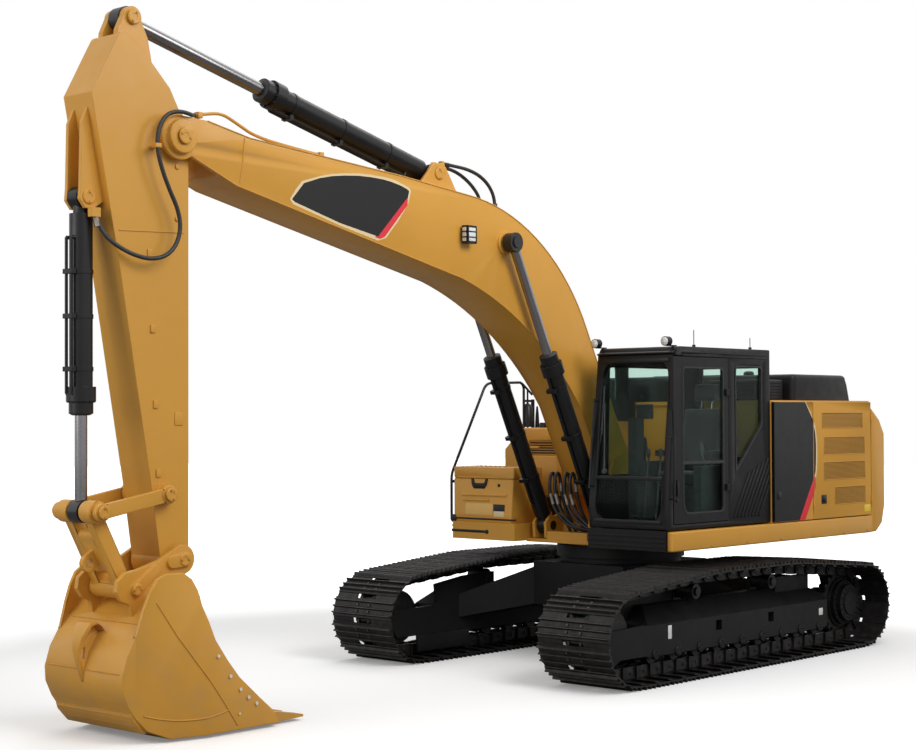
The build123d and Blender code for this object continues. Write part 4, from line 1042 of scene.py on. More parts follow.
# ---- panel graphics
@dataclass(frozen=True)
class Graphic:
    """Flat shape of one colour on a plane that faces along Y."""

    name: str
    finish: Finish
    body: str
    rise: float
    outline: tuple[Flat, ...]

    def build(self, face_y: float, low: Flat = (-FAR, -FAR), high: Flat = (FAR, FAR)) -> None:
        """Lay the shape on a face.

        Args:
            face_y: The face's Y; its sign is the way the face looks.
            low: Lowest X and Z that the shape may reach.
            high: Highest X and Z that it may reach.
        """
        side, out = NAMED_SIDES[face_y < 0]
        outline = [tuple(min(max(c, a), b) for c, a, b in zip(spot, low, high)) for spot in self.outline]
        shape = Shape().prism(outline, *span(face_y, out, 0, self.rise))
        shape.piece(f"{self.name}_{side}", self.finish, self.body.format(side), 20.0)


BOOM_GRAPHICS = (
    Graphic("boom_cream", LINE_CREAM, "boom", 0.0006, (
        (4.707, 4.142), (4.64, 4.232), (4.575, 4.301), (4.375, 4.361), (4.24, 4.392), (4.09, 4.414),
        (3.94, 4.427), (3.796, 4.431), (3.64, 4.427), (3.494, 4.413), (3.321, 4.365), (3.296, 4.336),
        (3.334, 4.22), (3.45, 4.07), (3.606, 3.906), (3.702, 3.877), (4.149, 3.971), (4.674, 4.105))),
    Graphic("boom_red", STRIPE_RED, "boom", 0.0011, (
        (3.334, 4.29), (3.34, 4.21), (3.45, 4.095), (3.62, 3.915), (3.678, 3.892), (3.74, 3.905))),
    Graphic("boom_black", PANEL_BLACK, "boom", 0.0016, (
        (4.685, 4.144), (4.553, 4.287), (4.375, 4.345), (4.24, 4.374), (4.09, 4.394), (3.94, 4.407),
        (3.796, 4.41), (3.64, 4.405), (3.531, 4.392), (3.42, 4.371), (3.346, 4.349), (3.321, 4.334),
        (3.334, 4.281), (3.52, 4.095), (3.702, 3.912), (4.148, 3.992), (4.652, 4.123))),
)
HOUSE_GRAPHICS = (
    Graphic("middle_cream", LINE_CREAM, "middle_{}_door", 0.0006, (
        (-1.0, 2.511), (-1.178, 2.511), (-1.3075, 2.356), (-1.3075, 2.1), (-1.0, 2.1))),
    Graphic("middle_red", STRIPE_RED, "middle_{}_door", 0.0011, (
        (-1.3075, 1.735), (-1.031, 1.331), (-1.155, 1.331), (-1.279, 1.522), (-1.3075, 1.566))),
    Graphic("middle_black", PANEL_BLACK, "middle_{}_door", 0.0016, (
        (-0.593, 2.511), (-1.158, 2.511), (-1.18, 2.491), (-1.292, 2.35), (-1.3075, 2.315),
        (-1.3075, 1.729), (-1.302, 1.723), (-1.049, 1.341), (-1.043, 1.331), (-0.593, 1.331))),
    Graphic("rear_cream", LINE_CREAM, "rear_{}_door", 0.0006, (
        (-1.3265, 2.333), (-1.36, 2.25), (-1.385, 2.126), (-1.392, 1.98), (-1.382, 1.822),
        (-1.36, 1.745), (-1.3265, 1.77))),
    Graphic("rear_red", STRIPE_RED, "rear_{}_door", 0.0011, (
        (-1.3265, 1.765), (-1.35, 1.742), (-1.358, 1.651), (-1.3265, 1.6))),
    Graphic("rear_black", PANEL_BLACK, "rear_{}_door", 0.0016, (
        (-1.3265, 2.262), (-1.348, 2.208), (-1.362, 2.11), (-1.364, 2.025), (-1.361, 1.91),
        (-1.351, 1.803), (-1.3265, 1.76))),
)


# ---- housing
@dataclass(frozen=True)
class Grille:
    """Perforated rectangle of a service door, in X and Z."""

    x0: float
    x1: float
    z0: float
    z1: float

    def holes(self, y: float, pitch: float) -> list[Point]:
        """Middles of the staggered holes, on a plane of a Y."""
        wide, tall = self.x1 - self.x0, self.z1 - self.z0
        columns, rows = round(wide / pitch), round(tall / (pitch * 0.866))
        return [(self.x0 + wide * (column + 0.5 + (0.25 if row % 2 else -0.25) * 0.9) / columns, y,
                 self.z0 + tall * (row + 0.5) / rows) for row in range(rows) for column in range(columns)]

    def border(self, t: float) -> list[tuple[Flat, Flat]]:
        """Reach in X and Z of the four bars round it, which are t wide."""
        x0, x1, z0, z1 = self.x0, self.x1, self.z0, self.z1
        return [((x0 - t, x1 + t), (z1, z1 + t)), ((x0 - t, x1 + t), (z0 - t, z0)),
                ((x0 - t, x0), (z0, z1)), ((x1, x1 + t), (z0, z1))]


@dataclass
class Housing:
    """Fittings of the rear housing, the skirts, the tool box and the tanks."""

    trees: Trees
    grilles: tuple[Grille, ...] = (
        Grille(-2.296, -1.486, 2.25, 2.4), Grille(-2.335, -1.521, 1.98, 2.15),
        Grille(-2.346, -1.517, 1.722, 1.895), Grille(-2.346, -1.73, 1.465, 1.635),
    )
    half_width: float = 1.448
    hole_pitch: float = 0.0145
    hole_r: float = 0.0052
    rim: float = 0.007
    door_foot: float = 1.331
    hood_foot: float = 2.5285
    hood_roll: float = 0.045
    box_front: float = 1.05  # X of the tool box's front below its lean
    tread_r: float = 0.01

    def build(self) -> None:
        """Build every fitting."""
        for side, out in NAMED_SIDES:
            face = out * self.half_width
            self.fit_side(side, out, face)
            low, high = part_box(f"middle_{side}_door")
            start, end = (-FAR, -0.593) if side == "left" else (low.x, -0.653)
            for graphic in HOUSE_GRAPHICS:
                top = high.z - 0.006 if graphic.name.startswith("middle") else FAR
                graphic.build(face, (start, -FAR), (end, top))
        self.fit_hood()
        self.fit_roof()
        self.fit_tool_box()
        self.fit_tanks()
        self.fit_mirror()
        self.fit_deck()

    def fit_side(self, side: str, out: float, face: float) -> None:
        """Grilles, latches and plates of one side's doors.

        Args:
            side: Name of the side.
            out: 1 on the left, -1 on the right.
            face: Y of the doors' face.
        """
        rear, front = f"rear_{side}_door", f"middle_{side}_door"
        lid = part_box(front)[1]
        Shape().block((lid.x - 0.006, lid.x + 0.0012), span(face, out, -0.031, 0.0016),
                      (self.door_foot, lid.z - 0.005)).piece(f"door_edge_{side}", PANEL_BLACK, front)
        rims = Shape()
        for i, grille in enumerate(self.grilles):
            self.trees.punch(f"grille_{side}_{i + 1}", grille.holes(face - out * 0.0004, self.hole_pitch),
                             (0, out, 0), self.hole_r, rear)
            for x, z in grille.border(self.rim):
                rims.block(x, span(face, out, -0.001, 0.0035), z)
        rims.piece(f"grille_rims_{side}", OCHRE, rear, bevel=0.001)
        latch = Shape().block((-1.56, -1.465), span(face, out, -0.001, 0.006), (1.478, 1.567))
        latch.block((-1.545, -1.492), span(face, out, 0, 0.013), (1.5, 1.546))
        latch.rod((-1.478, face, 1.523), (-1.478, face + out * 0.01, 1.523), 0.008, 16)
        latch.piece(f"rear_latch_{side}", CYLINDER_BLACK, rear, bevel=0.002)
        Shape().block((-2.452, -2.33), span(face, out, -0.0005, 0.0012), (1.362, 1.437)).piece(
            f"blank_plate_{side}", PLATE_YELLOW, rear, bevel=0.0004)
        Shape().block((-0.7, -0.64) if side == "left" else (-0.76, -0.7),
                      span(face, out, -0.001, 0.007), (1.55, 1.62)).piece(
            f"middle_latch_{side}", CYLINDER_BLACK, front, bevel=0.002)

    def fit_hood(self) -> None:
        """Hood with rolled edges, its knob, slats and catches."""
        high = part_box("engine_hood")[1]
        top, foot, half, roll, body = high.z, self.hood_foot, high.y, self.hood_roll, "engine_hood"
        back, front = -2.455, high.x
        rings = [rounded_ring(back + 0.115, front - 0.06, half - 0.04, 0.03, top - 0.06),
                 rounded_ring(back + 0.062, front - 0.042, half - 0.04, 0.03, foot),
                 rounded_ring(back, front, half, 0.06, foot),
                 rounded_ring(back + 0.055, front - 0.007, half, 0.06, top - 0.1)]
        for i in range(6):
            turn = radians(18 * i)
            inset = roll * (1 - cos(turn))
            rings.append(rounded_ring(back + 0.086 + 1.3 * inset, front - 0.009 - inset, half - inset,
                                      0.06 - inset, top - roll + roll * sin(turn)))
        hood = Shape().loft(rings)
        for y in (-0.9, 0.0, 0.9):
            hood.rod((-2.466, y - 0.045, 2.5385), (-2.466, y + 0.045, 2.5385), 0.009, 16)
            hood.block((-2.466, -2.44), about(y, 0.045), (2.5315, 2.5475))
        hood.piece("engine_hood_skin", CHARCOAL, body, 40.0, replaces=["engine_hood"])
        Shape().turned((-1.52, 0.55, top - 0.003), UP, [(0, 0.055), (0.03, 0.055), (0.045, 0.04), (0.05, 0.001)],
                       28).piece("hood_knob", CYLINDER_BLACK, body, 30.0)
        panel = Shape()
        for i in range(9):
            x = -2.27 + 0.1 * i
            panel.block((x, x + 0.045), (-0.62, 0.3), (top - 0.002, top + 0.009))
        panel.piece("hood_slats", CHARCOAL, body, bevel=0.003)
        catches = Shape()
        for y in (-0.7, 0.7):
            catches.block((-1.298, -1.272), about(y, 0.05), (2.56, 2.6))
            catches.block((-1.29, -1.262), about(y, 0.02), (2.545, 2.62))
        catches.piece("hood_catches", CYLINDER_BLACK, body, bevel=0.003)

    def fit_roof(self, rows: int = 6) -> None:
        """Slats of the intake box, rain cap of the exhaust and anti-slip studs."""
        low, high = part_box("intake_box")
        slats = Shape()
        for i in range(rows):
            z = low.z + 0.03 + (high.z - low.z - 0.06) * i / (rows - 1)
            slats.block((low.x + 0.05, high.x - 0.05), (high.y - 0.001, high.y + 0.01), about(z, 0.006))
            slats.block((high.x - 0.001, high.x + 0.01), (low.y + 0.05, high.y - 0.05), about(z, 0.006))
        slats.piece("intake_slats", CHARCOAL, bevel=0.002)
        low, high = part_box("exhaust_stack")
        x, y = (low.x + high.x) / 2, (low.y + high.y) / 2
        bands = Shape()
        for z in (2.62, 2.9):
            bands.turned((x, y, z), UP, [(-0.012, 0.079), (0.012, 0.079)], 36)
            bands.block((x + 0.07, x + 0.105), about(y, 0.012), about(z, 0.014))
        bands.turned((x, y, high.z - 0.09), UP, [(0, 0.079), (0.085, 0.079), (0.0855, 0.06)], 36)
        bands.piece("exhaust_bands", CYLINDER_BLACK, angle=30.0)
        spots = [(-1.22 + 0.061 * i, 1.2 + 0.063 * j, 2.528) for i in range(10) for j in range(3)]
        self.trees.bolts("roof_studs", spots, UP, 0.011, CHARCOAL, "upper", 0.005, 10)

    def lean(self, z: float) -> float:
        """X of the tool box's front face, which leans back above z 1.40."""
        return self.box_front - max(0.0, z - 1.4) * 0.055 / 0.508

    def fit_tool_box(self) -> None:
        """Handle recess, lock, creases, slot and steps of the tool box front; the recess and the slot are drawn in
        painted shade.
        """
        lean = self.lean
        creases = Shape()
        for z, y0, y1 in ((1.592, -1.222, -0.628), (1.542, -1.205, -0.85)):
            x = lean(z)
            creases.prism([(x - 0.004, z - 0.012), (x + 0.012, z - 0.012), (x + 0.012, z + 0.002),
                           (x - 0.004, z + 0.016)], y0, y1)
        creases.block((1.048, 1.058), (-1.338, -0.947), (1.262, 1.286))
        creases.piece("tool_box_creases", OCHRE, bevel=0.0015)
        corners = ((1.392, -0.002), (1.506, -0.002), (1.506, 0.002), (1.392, 0.002))
        Shape().prism([(lean(z) + rise, z) for z, rise in corners], -1.166, -0.803).piece(
            "tool_box_panel", PANEL_TAN, bevel=0.0006)
        # The dark U is painted shade in the handle recess.
        dark = Shape().prism([
            (-1.107, 1.752), (-1.098, 1.69), (-1.072, 1.652), (-0.925, 1.652), (-0.899, 1.69), (-0.889, 1.752),
            (-0.915, 1.752), (-0.928, 1.716), (-0.945, 1.708), (-1.05, 1.708), (-1.066, 1.716), (-1.079, 1.752),
        ], lean(1.7) - 0.008, lean(1.7) + 0.007, Axis.X)
        dark.block((lean(1.35) - 0.006, lean(1.35) + 0.004), (-1.3, -0.49), (1.343, 1.36))
        dark.rod((lean(1.69) - 0.004, -0.737, 1.69), (lean(1.69) + 0.006, -0.737, 1.69), 0.016, 20)
        dark.rod((1.0, -1.322, 1.345), (1.056, -1.322, 1.345), 0.042, 24)
        dark.piece("tool_box_dark", CYLINDER_BLACK, bevel=0.0015)
        # The step slot is a black block with a round end: painted shade in the slot.
        slot = Shape().block((1.035, 1.064), (-1.34, -0.88), (1.212, 1.24))
        slot.rod((1.04, -0.862, 1.226), (1.066, -0.862, 1.226), 0.022, 18)
        slot.piece("deck_slot", PANEL_BLACK, bevel=0.003)
        signs = Shape()
        for z in (1.468, 1.406):
            signs.block((lean(z) - 0.002, lean(z) + 0.0022), (-0.782, -0.65), about(z, 0.027))
        signs.piece("tool_box_plates", LINE_CREAM, bevel=0.0004)
        x = lean(1.437)
        Shape().block((x - 0.002, x + 0.0012), (-0.79, -0.642), (1.373, 1.502)).piece(
            "tool_box_plate_edge", PANEL_BLACK, bevel=0.0004)
        x = lean(1.765)
        Shape().block(about(x, 0.006), (-1.302, -0.57), (1.757, 1.772)).piece(
            "lid_lip", OCHRE, "tool_box_lid", bevel=0.002)
        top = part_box("tool_box_lid")[1].z - 0.0005
        tread = [(0.62 + 0.055 * i, -1.33 + 0.064 * j, top) for i in range(6) for j in range(12)]
        self.trees.bolts("lid_tread", tread, UP, self.tread_r, OCHRE, "tool_box_lid", 0.005, 10)

    def fit_tanks(self) -> None:
        """Vent ribs, caps, cover bolts and side bolts of the tanks."""
        low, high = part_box("fuel_tank")
        front, y = high.x, (-1.033, -0.684)
        # A dark plate at the back of the vent's recess: painted shade.
        Shape().block((front - 0.0225, front - 0.0195), y, (1.967, 2.131)).piece("tank_vent_back", PAINTED_SHADE)
        ribs = Shape()
        for i in range(6):
            z = 1.984 + 0.026 * i
            ribs.block((front - 0.021, front - 0.01), y, about(z, 0.004))
        ribs.block((front - 0.021, front + 0.004), (-1.033, -0.905), (2.045, 2.07))
        ribs.piece("tank_vent", OCHRE, bevel=0.001)
        foot = high.z - 0.002
        caps = Shape().turned((0.06, -0.93, foot), UP, [(0, 0.062), (0.05, 0.058), (0.056, 0.05), (0.056, 0.001)], 28)
        caps.turned((-0.36, -0.93, foot), UP, [(0, 0.12), (0.018, 0.12), (0.022, 0.11), (0.022, 0.001)], 36)
        caps.piece("tank_caps", CHARCOAL, angle=30.0)
        spots = circle_spots((-0.36, -0.93, high.z + 0.02), Axis.Z, 0.098, 8)
        self.trees.bolts("tank_bolts", spots, UP, 0.009, CHARCOAL)
        side = [(x, low.y - 0.0005, z) for x in (-0.6, -0.12, -0.04, 0.165) for z in (1.36, 1.68, 1.99)]
        self.trees.bolts("tank_side_bolts", side, (0, -1, 0), 0.01, OCHRE)

    def fit_mirror(self) -> None:
        """Round folded mirror on the handrail, with its cap and stay."""
        low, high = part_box("mirror")
        x, y = (low.x + high.x) / 2 - 0.058, (low.y + high.y) / 2
        shell = Shape().turned((x, y, low.z), UP, [
            (0.0, 0.036), (0.01, 0.05), (0.215, 0.052), (0.24, 0.036), (0.255, 0.014), (0.262, 0.013)], 28)
        shell.rod((x, y, low.z - 0.02), (x, y, high.z + 0.16), 0.01, 12)
        shell.rod((x - 0.075, y, high.z + 0.1), (x + 0.085, y, high.z + 0.215), 0.012, 12)
        shell.turned((x - 0.16, y, low.z - 0.02), UP, [
            (0.0, 0.024), (0.02, 0.026), (0.16, 0.018), (0.24, 0.01), (0.245, 0.004)], 20)
        shell.piece("rail_mirror", CYLINDER_BLACK, replaces=["mirror"])

    def fit_deck(self) -> None:
        """Bolts along the skirts, the counterweight seam in painted shade, and tie rings."""
        spots, aims = [], []
        for y, out in ((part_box("side_skirt_left")[1].y, 1.0), (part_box("side_skirt_right")[0].y, -1.0)):
            spots += [(x, y - out * 0.0004, 1.165) for x in (-2.38, -1.9, -1.3, -0.7, -0.1, 0.5)]
            aims += [(0.0, out, 0.0)] * 6
        self.trees.bolts("skirt_bolts", spots, aims, 0.009, OCHRE)
        low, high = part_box("counterweight")
        # A dark strip down the middle of the counterweight's back: painted shade in its seam.
        Shape().block((low.x - 0.0005, low.x + 0.02), (-0.006, 0.006), (1.25, 2.3)).piece(
            "counterweight_seam", PAINTED_SHADE)
        caps = Shape()
        for y in (-0.78, 0.78):
            caps.turned((-2.72, y, high.z - 0.002), UP, [(0, 0.052), (0.006, 0.052), (0.009, 0.046)], 28)
        for y in (-0.55, 0.55):
            caps.turned((low.x, y, 1.6), (-1, 0, 0), [(-0.04, 0.035), (0.0, 0.035), (0.004, 0.03)], 24)
        caps.piece("counterweight_caps", OCHRE, angle=30.0)


# ---- cab
@dataclass
class CabShell:
    """Trim of the cab: ribs, seals, rails, wiper, lamps and handles."""

    trees: Trees
    round: float = 0.055  # reach of the panes' round corners
    screen_round: float = 0.16
    seal: float = 0.016
    post: float = 0.075              # width of the front posts
    knee: float = 1.56               # the front leans back above this
    rib: float = 0.013

    def __post_init__(self) -> None:
        """Take the cab's faces from the frame."""
        self.low, self.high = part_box("cab_frame")
        self.side = self.high.y
        self.inner = (self.low.y + self.post, self.side - self.post)

    def front(self, z: float) -> float:
        """X of the cab's leaning front at a height."""
        return self.high.x if z < self.knee else self.high.x - 0.15 * (z - self.knee) / 1.4

    def build(self) -> None:
        """Build the trim."""
        self.build_ribs()
        self.build_front()
        self.build_seals()
        self.build_lamps()
        self.build_handles()
        self.build_step()

    def build_ribs(self) -> None:
        """Pressed diagonal ribs of the rear panel and the roof's ribs."""
        y, ribs = self.side, Shape()
        unit = hypot(-0.374, 0.591)
        ux, uz = -0.374 / unit, 0.591 / unit
        nx, nz = -uz * self.rib, ux * self.rib
        z0 = 1.405
        for i in range(8):
            x0 = 0.075 - 0.062 * i
            most = min(0.5 + 0.04 * i, (x0 + 0.545) / -ux, (2.2 - z0) / uz)
            # stop short of the window edge, which runs from (0.04, 1.83) to (-0.43, 2.285)
            shorter = [most * (60 - step) / 60 for step in range(60)]
            reach = next((r for r in shorter if z0 + uz * r < 1.83 + (0.04 - (x0 + ux * r)) * 0.968 - 0.055), most)
            x1, z1 = x0 + ux * reach, z0 + uz * reach
            ribs.prism([(x0 - nx, z0 - nz), (x1 - nx, z1 - nz), (x1 + nx, z1 + nz), (x0 + nx, z0 + nz)],
                       y - 0.002, y + 0.009)
        for z in (2.965, 2.935):
            ribs.block((-0.5, 0.9), (y - 0.002, y + 0.007), about(z, 0.007))
        for i in range(4):
            ribs.block((-0.42 + 0.3 * i, -0.22 + 0.3 * i), (0.62, 0.64), (self.high.z - 0.003, self.high.z + 0.006))
        ribs.piece("cab_ribs", CHARCOAL, bevel=0.004)

    def build_front(self) -> None:
        """Split bar, visor band, wiper and hinge bar of the windscreen."""
        bars = Shape()
        for z, half, rise in ((1.8, 0.018, 0.01), (2.895, 0.02, 0.012), (1.4, 0.018, 0.01)):
            x = self.front(z)
            bars.block((x - 0.03, x + rise), (self.inner[0] + 0.001, self.inner[1] - 0.001), (z - half, z + half))
        bars.piece("windscreen_bars", CYLINDER_BLACK, bevel=0.003)
        x = self.front(2.95)
        Shape().prism([(x - 0.06, 2.99), (x + 0.035, 2.968), (x + 0.04, 2.955), (x - 0.005, 2.94)],
                      self.low.y + 0.02, self.side - 0.02).piece("roof_visor", CHARCOAL, bevel=0.004)
        foot, tip, (y0, y1, y2) = 1.86, 2.5, (0.66, 0.625, 0.61)
        x = self.front(foot) - 0.012
        wiper = Shape().rod((x - 0.02, y0, foot), (x + 0.018, y0, foot), 0.022, 18)
        wiper.rod((x + 0.01, y0, foot), (self.front(tip) - 0.006 + 0.012, y1, tip), 0.006, 10)
        low, high = tip - 0.3, tip + 0.16
        wiper.rod((self.front(low) + 0.004, y2, low), (self.front(high) + 0.004, y2, high), 0.0055, 8)
        wiper.piece("wiper", PLASTIC, angle=30.0)

    def ring(self, shape: Shape, outline: Outline, low: float, high: float) -> None:
        """Add a rubber seal with round corners inside an opening."""
        inner = soften(shrink(outline, self.seal), self.round - self.seal / 2)
        shape.frame(soften(outline, self.round), inner, low, high)

    def build_seals(self) -> None:
        """Rubber seals round the panes, and the openings' round corners."""
        y, right, (y0, y1) = self.side, self.low.y, self.inner
        quarter = [(-0.43, 2.285), (0.04, 1.83), (0.04, 2.86), (-0.43, 2.86)]
        corners = Shape()
        for fill in corner_fills([(y0, 1.4), (y1, 1.4), (y1, 2.89), (y0, 2.89)], self.screen_round):
            corners.loft([[(self.front(w) + rise, v, w) for v, w in fill] for rise in (-0.04, 0.001)])
        for fill in corner_fills(quarter, self.round):
            corners.prism(fill, y - 0.03, y + 0.001)
        corners.piece("cab_corners", CHARCOAL, angle=20.0)
        fixed = Shape()
        self.ring(fixed, quarter, y - 0.022, y + 0.003)
        self.ring(fixed, [(-0.35, 1.8), (0.9, 1.8), (0.86, 2.86), (-0.35, 2.86)], right - 0.003, right + 0.022)
        fixed.piece("cab_seals", RUBBER, angle=20.0)
        pane = [(0.235, 1.47), (0.86, 1.47), (0.905, 1.56), (0.905, 2.835), (0.235, 2.835)]
        leaf, door = Shape(), Shape()
        for fill in corner_fills(pane, self.round, 0.003):
            leaf.prism(fill, y - 0.03, y + 0.001)
        leaf.piece("door_corners", CHARCOAL, "cab_door", 20.0)
        self.ring(door, pane, y - 0.014, y + 0.003)
        door.block((0.226, 0.914), (y - 0.018, y + 0.002), (1.93, 1.955))
        door.piece("door_seals", RUBBER, "cab_door", 20.0)
        x, outline = self.low.x, [(0.61, 1.95), (1.302, 1.95), (1.302, 2.86), (0.61, 2.86)]
        Shape().frame(outline, shrink(outline, self.seal), x - 0.003, x + 0.02, Axis.X).piece(
            "rear_pane_seal", RUBBER, angle=20.0)

    def build_lamps(self) -> None:
        """Lenses of the roof lamps and of the boom lamp."""
        lenses = Shape()
        for y in (1.335, 0.522):
            lenses.turned((1.0755, y, self.high.z + 0.045), (1, 0, 0), [
                (-0.006, 0.038), (0.002, 0.038), (0.008, 0.028), (0.01, 0.001)], 28)
        lenses.piece("roof_lamp_lenses", LENS, angle=40.0)
        (x0, _, z0), (x1, y, z1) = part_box("boom_lamp")
        lens = Shape().block((x1 - 0.004, x1 + 0.006), (0.282, 0.324), (z0 + 0.018, z1 - 0.018))
        lens.block((x0 + 0.016, x1 - 0.016), about(y, 0.004), (z0 + 0.02, z1 - 0.02))
        lens.piece("boom_lamp_lens", LENS, "boom", bevel=0.002)
        guard = Shape()
        for z in (z0 + 0.055, z1 - 0.055):
            guard.block((x0 + 0.004, x1 + 0.012), (y - 0.003, y + 0.01), about(z, 0.005))
            guard.block((x1 - 0.003, x1 + 0.012), (0.276, y + 0.01), about(z, 0.005))
        for x in (x0 + 0.008, x1 - 0.012):
            guard.block(about(x, 0.006), (y - 0.002, y + 0.007), (z0 + 0.006, z1 - 0.006))
        guard.piece("boom_lamp_guard", CYLINDER_BLACK, "boom", bevel=0.0015)

    def build_handles(self) -> None:
        """Grab bars by the door and on the front post, and the door's latch."""
        x, y, z0, z1 = 1.105, self.side, 1.62, 2.18
        bars = Shape()
        for z in (z0, z1):
            bars.rod((x, y - 0.004, z), (x, y + 0.045, z), 0.01, 12)
        bars.rod((x, y + 0.045, z0 - 0.01), (x, y + 0.045, z1 + 0.01), 0.011, 14)
        post = self.low.y + 0.03
        for z in (1.72, 2.52):
            bars.rod((self.front(z) - 0.004, post, z), (self.front(z) + 0.045, post, z), 0.009, 12)
        bars.rod((self.front(1.72) + 0.045, post, 1.7), (self.front(2.52) + 0.045, post, 2.54), 0.01, 14)
        bars.piece("cab_grab_bars", CYLINDER_BLACK, angle=30.0)
        inner = Shape().rod((0.9, y - 0.075, 1.75), (0.9, y - 0.075, 2.25), 0.01, 12)
        for z in (1.75, 2.25):
            inner.rod((0.9, y - 0.078, z), (0.925, y - 0.035, z), 0.009, 10)
        inner.piece("door_inner_bar", PLASTIC, "cab_door", 30.0)
        lock = Shape().block((1.012, 1.028), (y + 0.014, y + 0.026), (1.665, 1.765))
        lock.rod((1.004, y + 0.012, 1.6), (1.004, y + 0.005, 1.6), 0.014, 18)
        lock.piece("door_latch", CYLINDER_BLACK, "cab_door", bevel=0.002)

    def build_step(self) -> None:
        """Tread of the step between the tool box and the tank."""
        low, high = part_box("access_step")
        spots = [(low.x + 0.04 + 0.05 * i, low.y + 0.08 + 0.065 * j, high.z - 0.0005)
                 for i in range(int((high.x - low.x - 0.06) / 0.05) + 1)
                 for j in range(int((high.y - low.y - 0.1) / 0.065))]
        self.trees.bolts("step_tread", spots, UP, 0.012, CHARCOAL, "upper", 0.006, 10)


def rounded_ring(x0: float, x1: float, half: float, radius: float, z: float) -> list[Point]:
    """Level rectangle with round corners.

    Args:
        x0: X of its back.
        x1: X of its front.
        half: Half of its width.
        radius: Radius of its corners.
        z: Its height.

    Returns:
        Its ring of points.
    """
    ring = []
    for x, y, start in ((x1, half, 0), (x0, half, 90), (x0, -half, 180), (x1, -half, 270)):
        cx, cy = x - copysign(radius, x - (x0 + x1) / 2), y - copysign(radius, y)
        turns = [radians(start + 18 * i) for i in range(6)]
        ring += [(cx + radius * cos(turn), cy + radius * sin(turn), z) for turn in turns]
    return ring


def shrink(outline: Outline, width: float) -> list[Flat]:
    """Draw in an outline.

    Args:
        outline: The outline, with wide corners only.
        width: How far it is drawn in.

    Returns:
        The smaller outline.
    """
    turn = sum(a[0] * b[1] - b[0] * a[1] for a, b in round_pairs(outline))
    way = 1.0 if turn > 0 else -1.0
    made = []
    for i, spot in enumerate(outline):
        a, b, c = Vector(outline[i - 1]), Vector(spot), Vector(outline[(i + 1) % len(outline)])
        before, after = (b - a).normalized(), (c - b).normalized()
        n0, n1 = (Vector((-edge.y, edge.x)) * way for edge in (before, after))
        mid = (n0 + n1).normalized()
        made.append(tuple(b + mid * (width / max(0.2, mid.dot(n0)))))
    return made


def soften(outline: Outline, reach: float, steps: int = 5) -> list[Flat]:
    """Round off the corners of an outline.

    Args:
        outline: The sharp outline.
        reach: How far along each edge a rounding goes.
        steps: Straight runs in each rounding.

    Returns:
        The round outline.
    """
    made = []
    for i, spot in enumerate(outline):
        corner = Vector(spot)
        before = Vector(outline[i - 1]) - corner
        after = Vector(outline[(i + 1) % len(outline)]) - corner
        far = min(reach, 0.45 * before.length, 0.45 * after.length)
        start, end = corner + before.normalized() * far, corner + after.normalized() * far
        made += [tuple(start * (1 - k / steps) ** 2 + corner * (2 * k / steps * (1 - k / steps))
                       + end * (k / steps) ** 2) for k in range(steps + 1)]
    return made


def corner_fills(outline: Outline, reach: float, lap: float = 0.014, steps: int = 5) -> Iterator[list[Flat]]:
    """Outlines of the gussets that round an opening's corners.

    Args:
        outline: The opening with its sharp corners.
        reach: How far along each edge the rounding goes.
        lap: How far a gusset lies over the wall.
        steps: Straight runs in each rounding.

    Yields:
        One outline for each corner.
    """
    curve = soften(outline, reach, steps)
    for i, spot in enumerate(outline):
        arc = curve[i * (steps + 1):(i + 1) * (steps + 1)]
        corner = Vector(spot)
        over, beside = ((corner - Vector(p)).normalized() * lap for p in (arc[-1], arc[0]))
        yield [tuple(corner + over + beside), tuple(Vector(arc[0]) + over), *arc, tuple(Vector(arc[-1]) + beside)]


# ---- working arm
@dataclass(frozen=True)
class Ram:
    """One hydraulic cylinder: its pins in XZ, its Y and sizes."""

    name: str
    foot: Flat
    top: Flat
    y: float
    barrel_r: float
    barrel_run: float
    pipes: tuple[float, ...]  # pipes on the barrel, by their place sideways
    way: float = -1.0                # the pipes' side of the barrel: -1 under it, 1 over it

    def at(self, run: float, side: float = 0.0, over: float = 0.0) -> Vector:
        """Point by the axis.

        Args:
            run: How far along it, from the foot.
            side: Shift along Y.
            over: Shift over it.

        Returns:
            The point.
        """
        dx, dz = self.top[0] - self.foot[0], self.top[1] - self.foot[1]
        n = hypot(dx, dz)
        ux, uz = dx / n, dz / n
        return Vector((self.foot[0] + ux * run - uz * over, self.y + side, self.foot[1] + uz * run + ux * over))

    def aim(self) -> Vector:
        """Direction from the foot to the top."""
        return (self.at(1.0) - self.at(0.0)).normalized()


RAMS = (
    Ram("boom_cylinder_left", (0.75, 1.3), (2.06, 3.97), 0.35, 0.082, 1.84, (0.0,)),
    Ram("boom_cylinder_right", (0.75, 1.3), (2.06, 3.97), -0.35, 0.082, 1.84, (0.0,)),
    Ram("stick_cylinder", (2.83, 4.545), (6.18, 5.4), 0.0, 0.098, 2.03, (-0.03, 0.03)),
    Ram("bucket_cylinder", (6.56, 4.01), (6.555, 1.69), 0.0, 0.086, 1.6, (-0.03, 0.03), 1.0),
)


@dataclass(frozen=True)
class Pin:
    """One pin of the arm, with a cap and a bolted keeper at both ends."""

    name: str
    body: str
    x: float
    z: float
    end: float  # Y of its end
    r: float                 # radius of its caps
    turn: float              # way round of its keeper bolts, in degrees


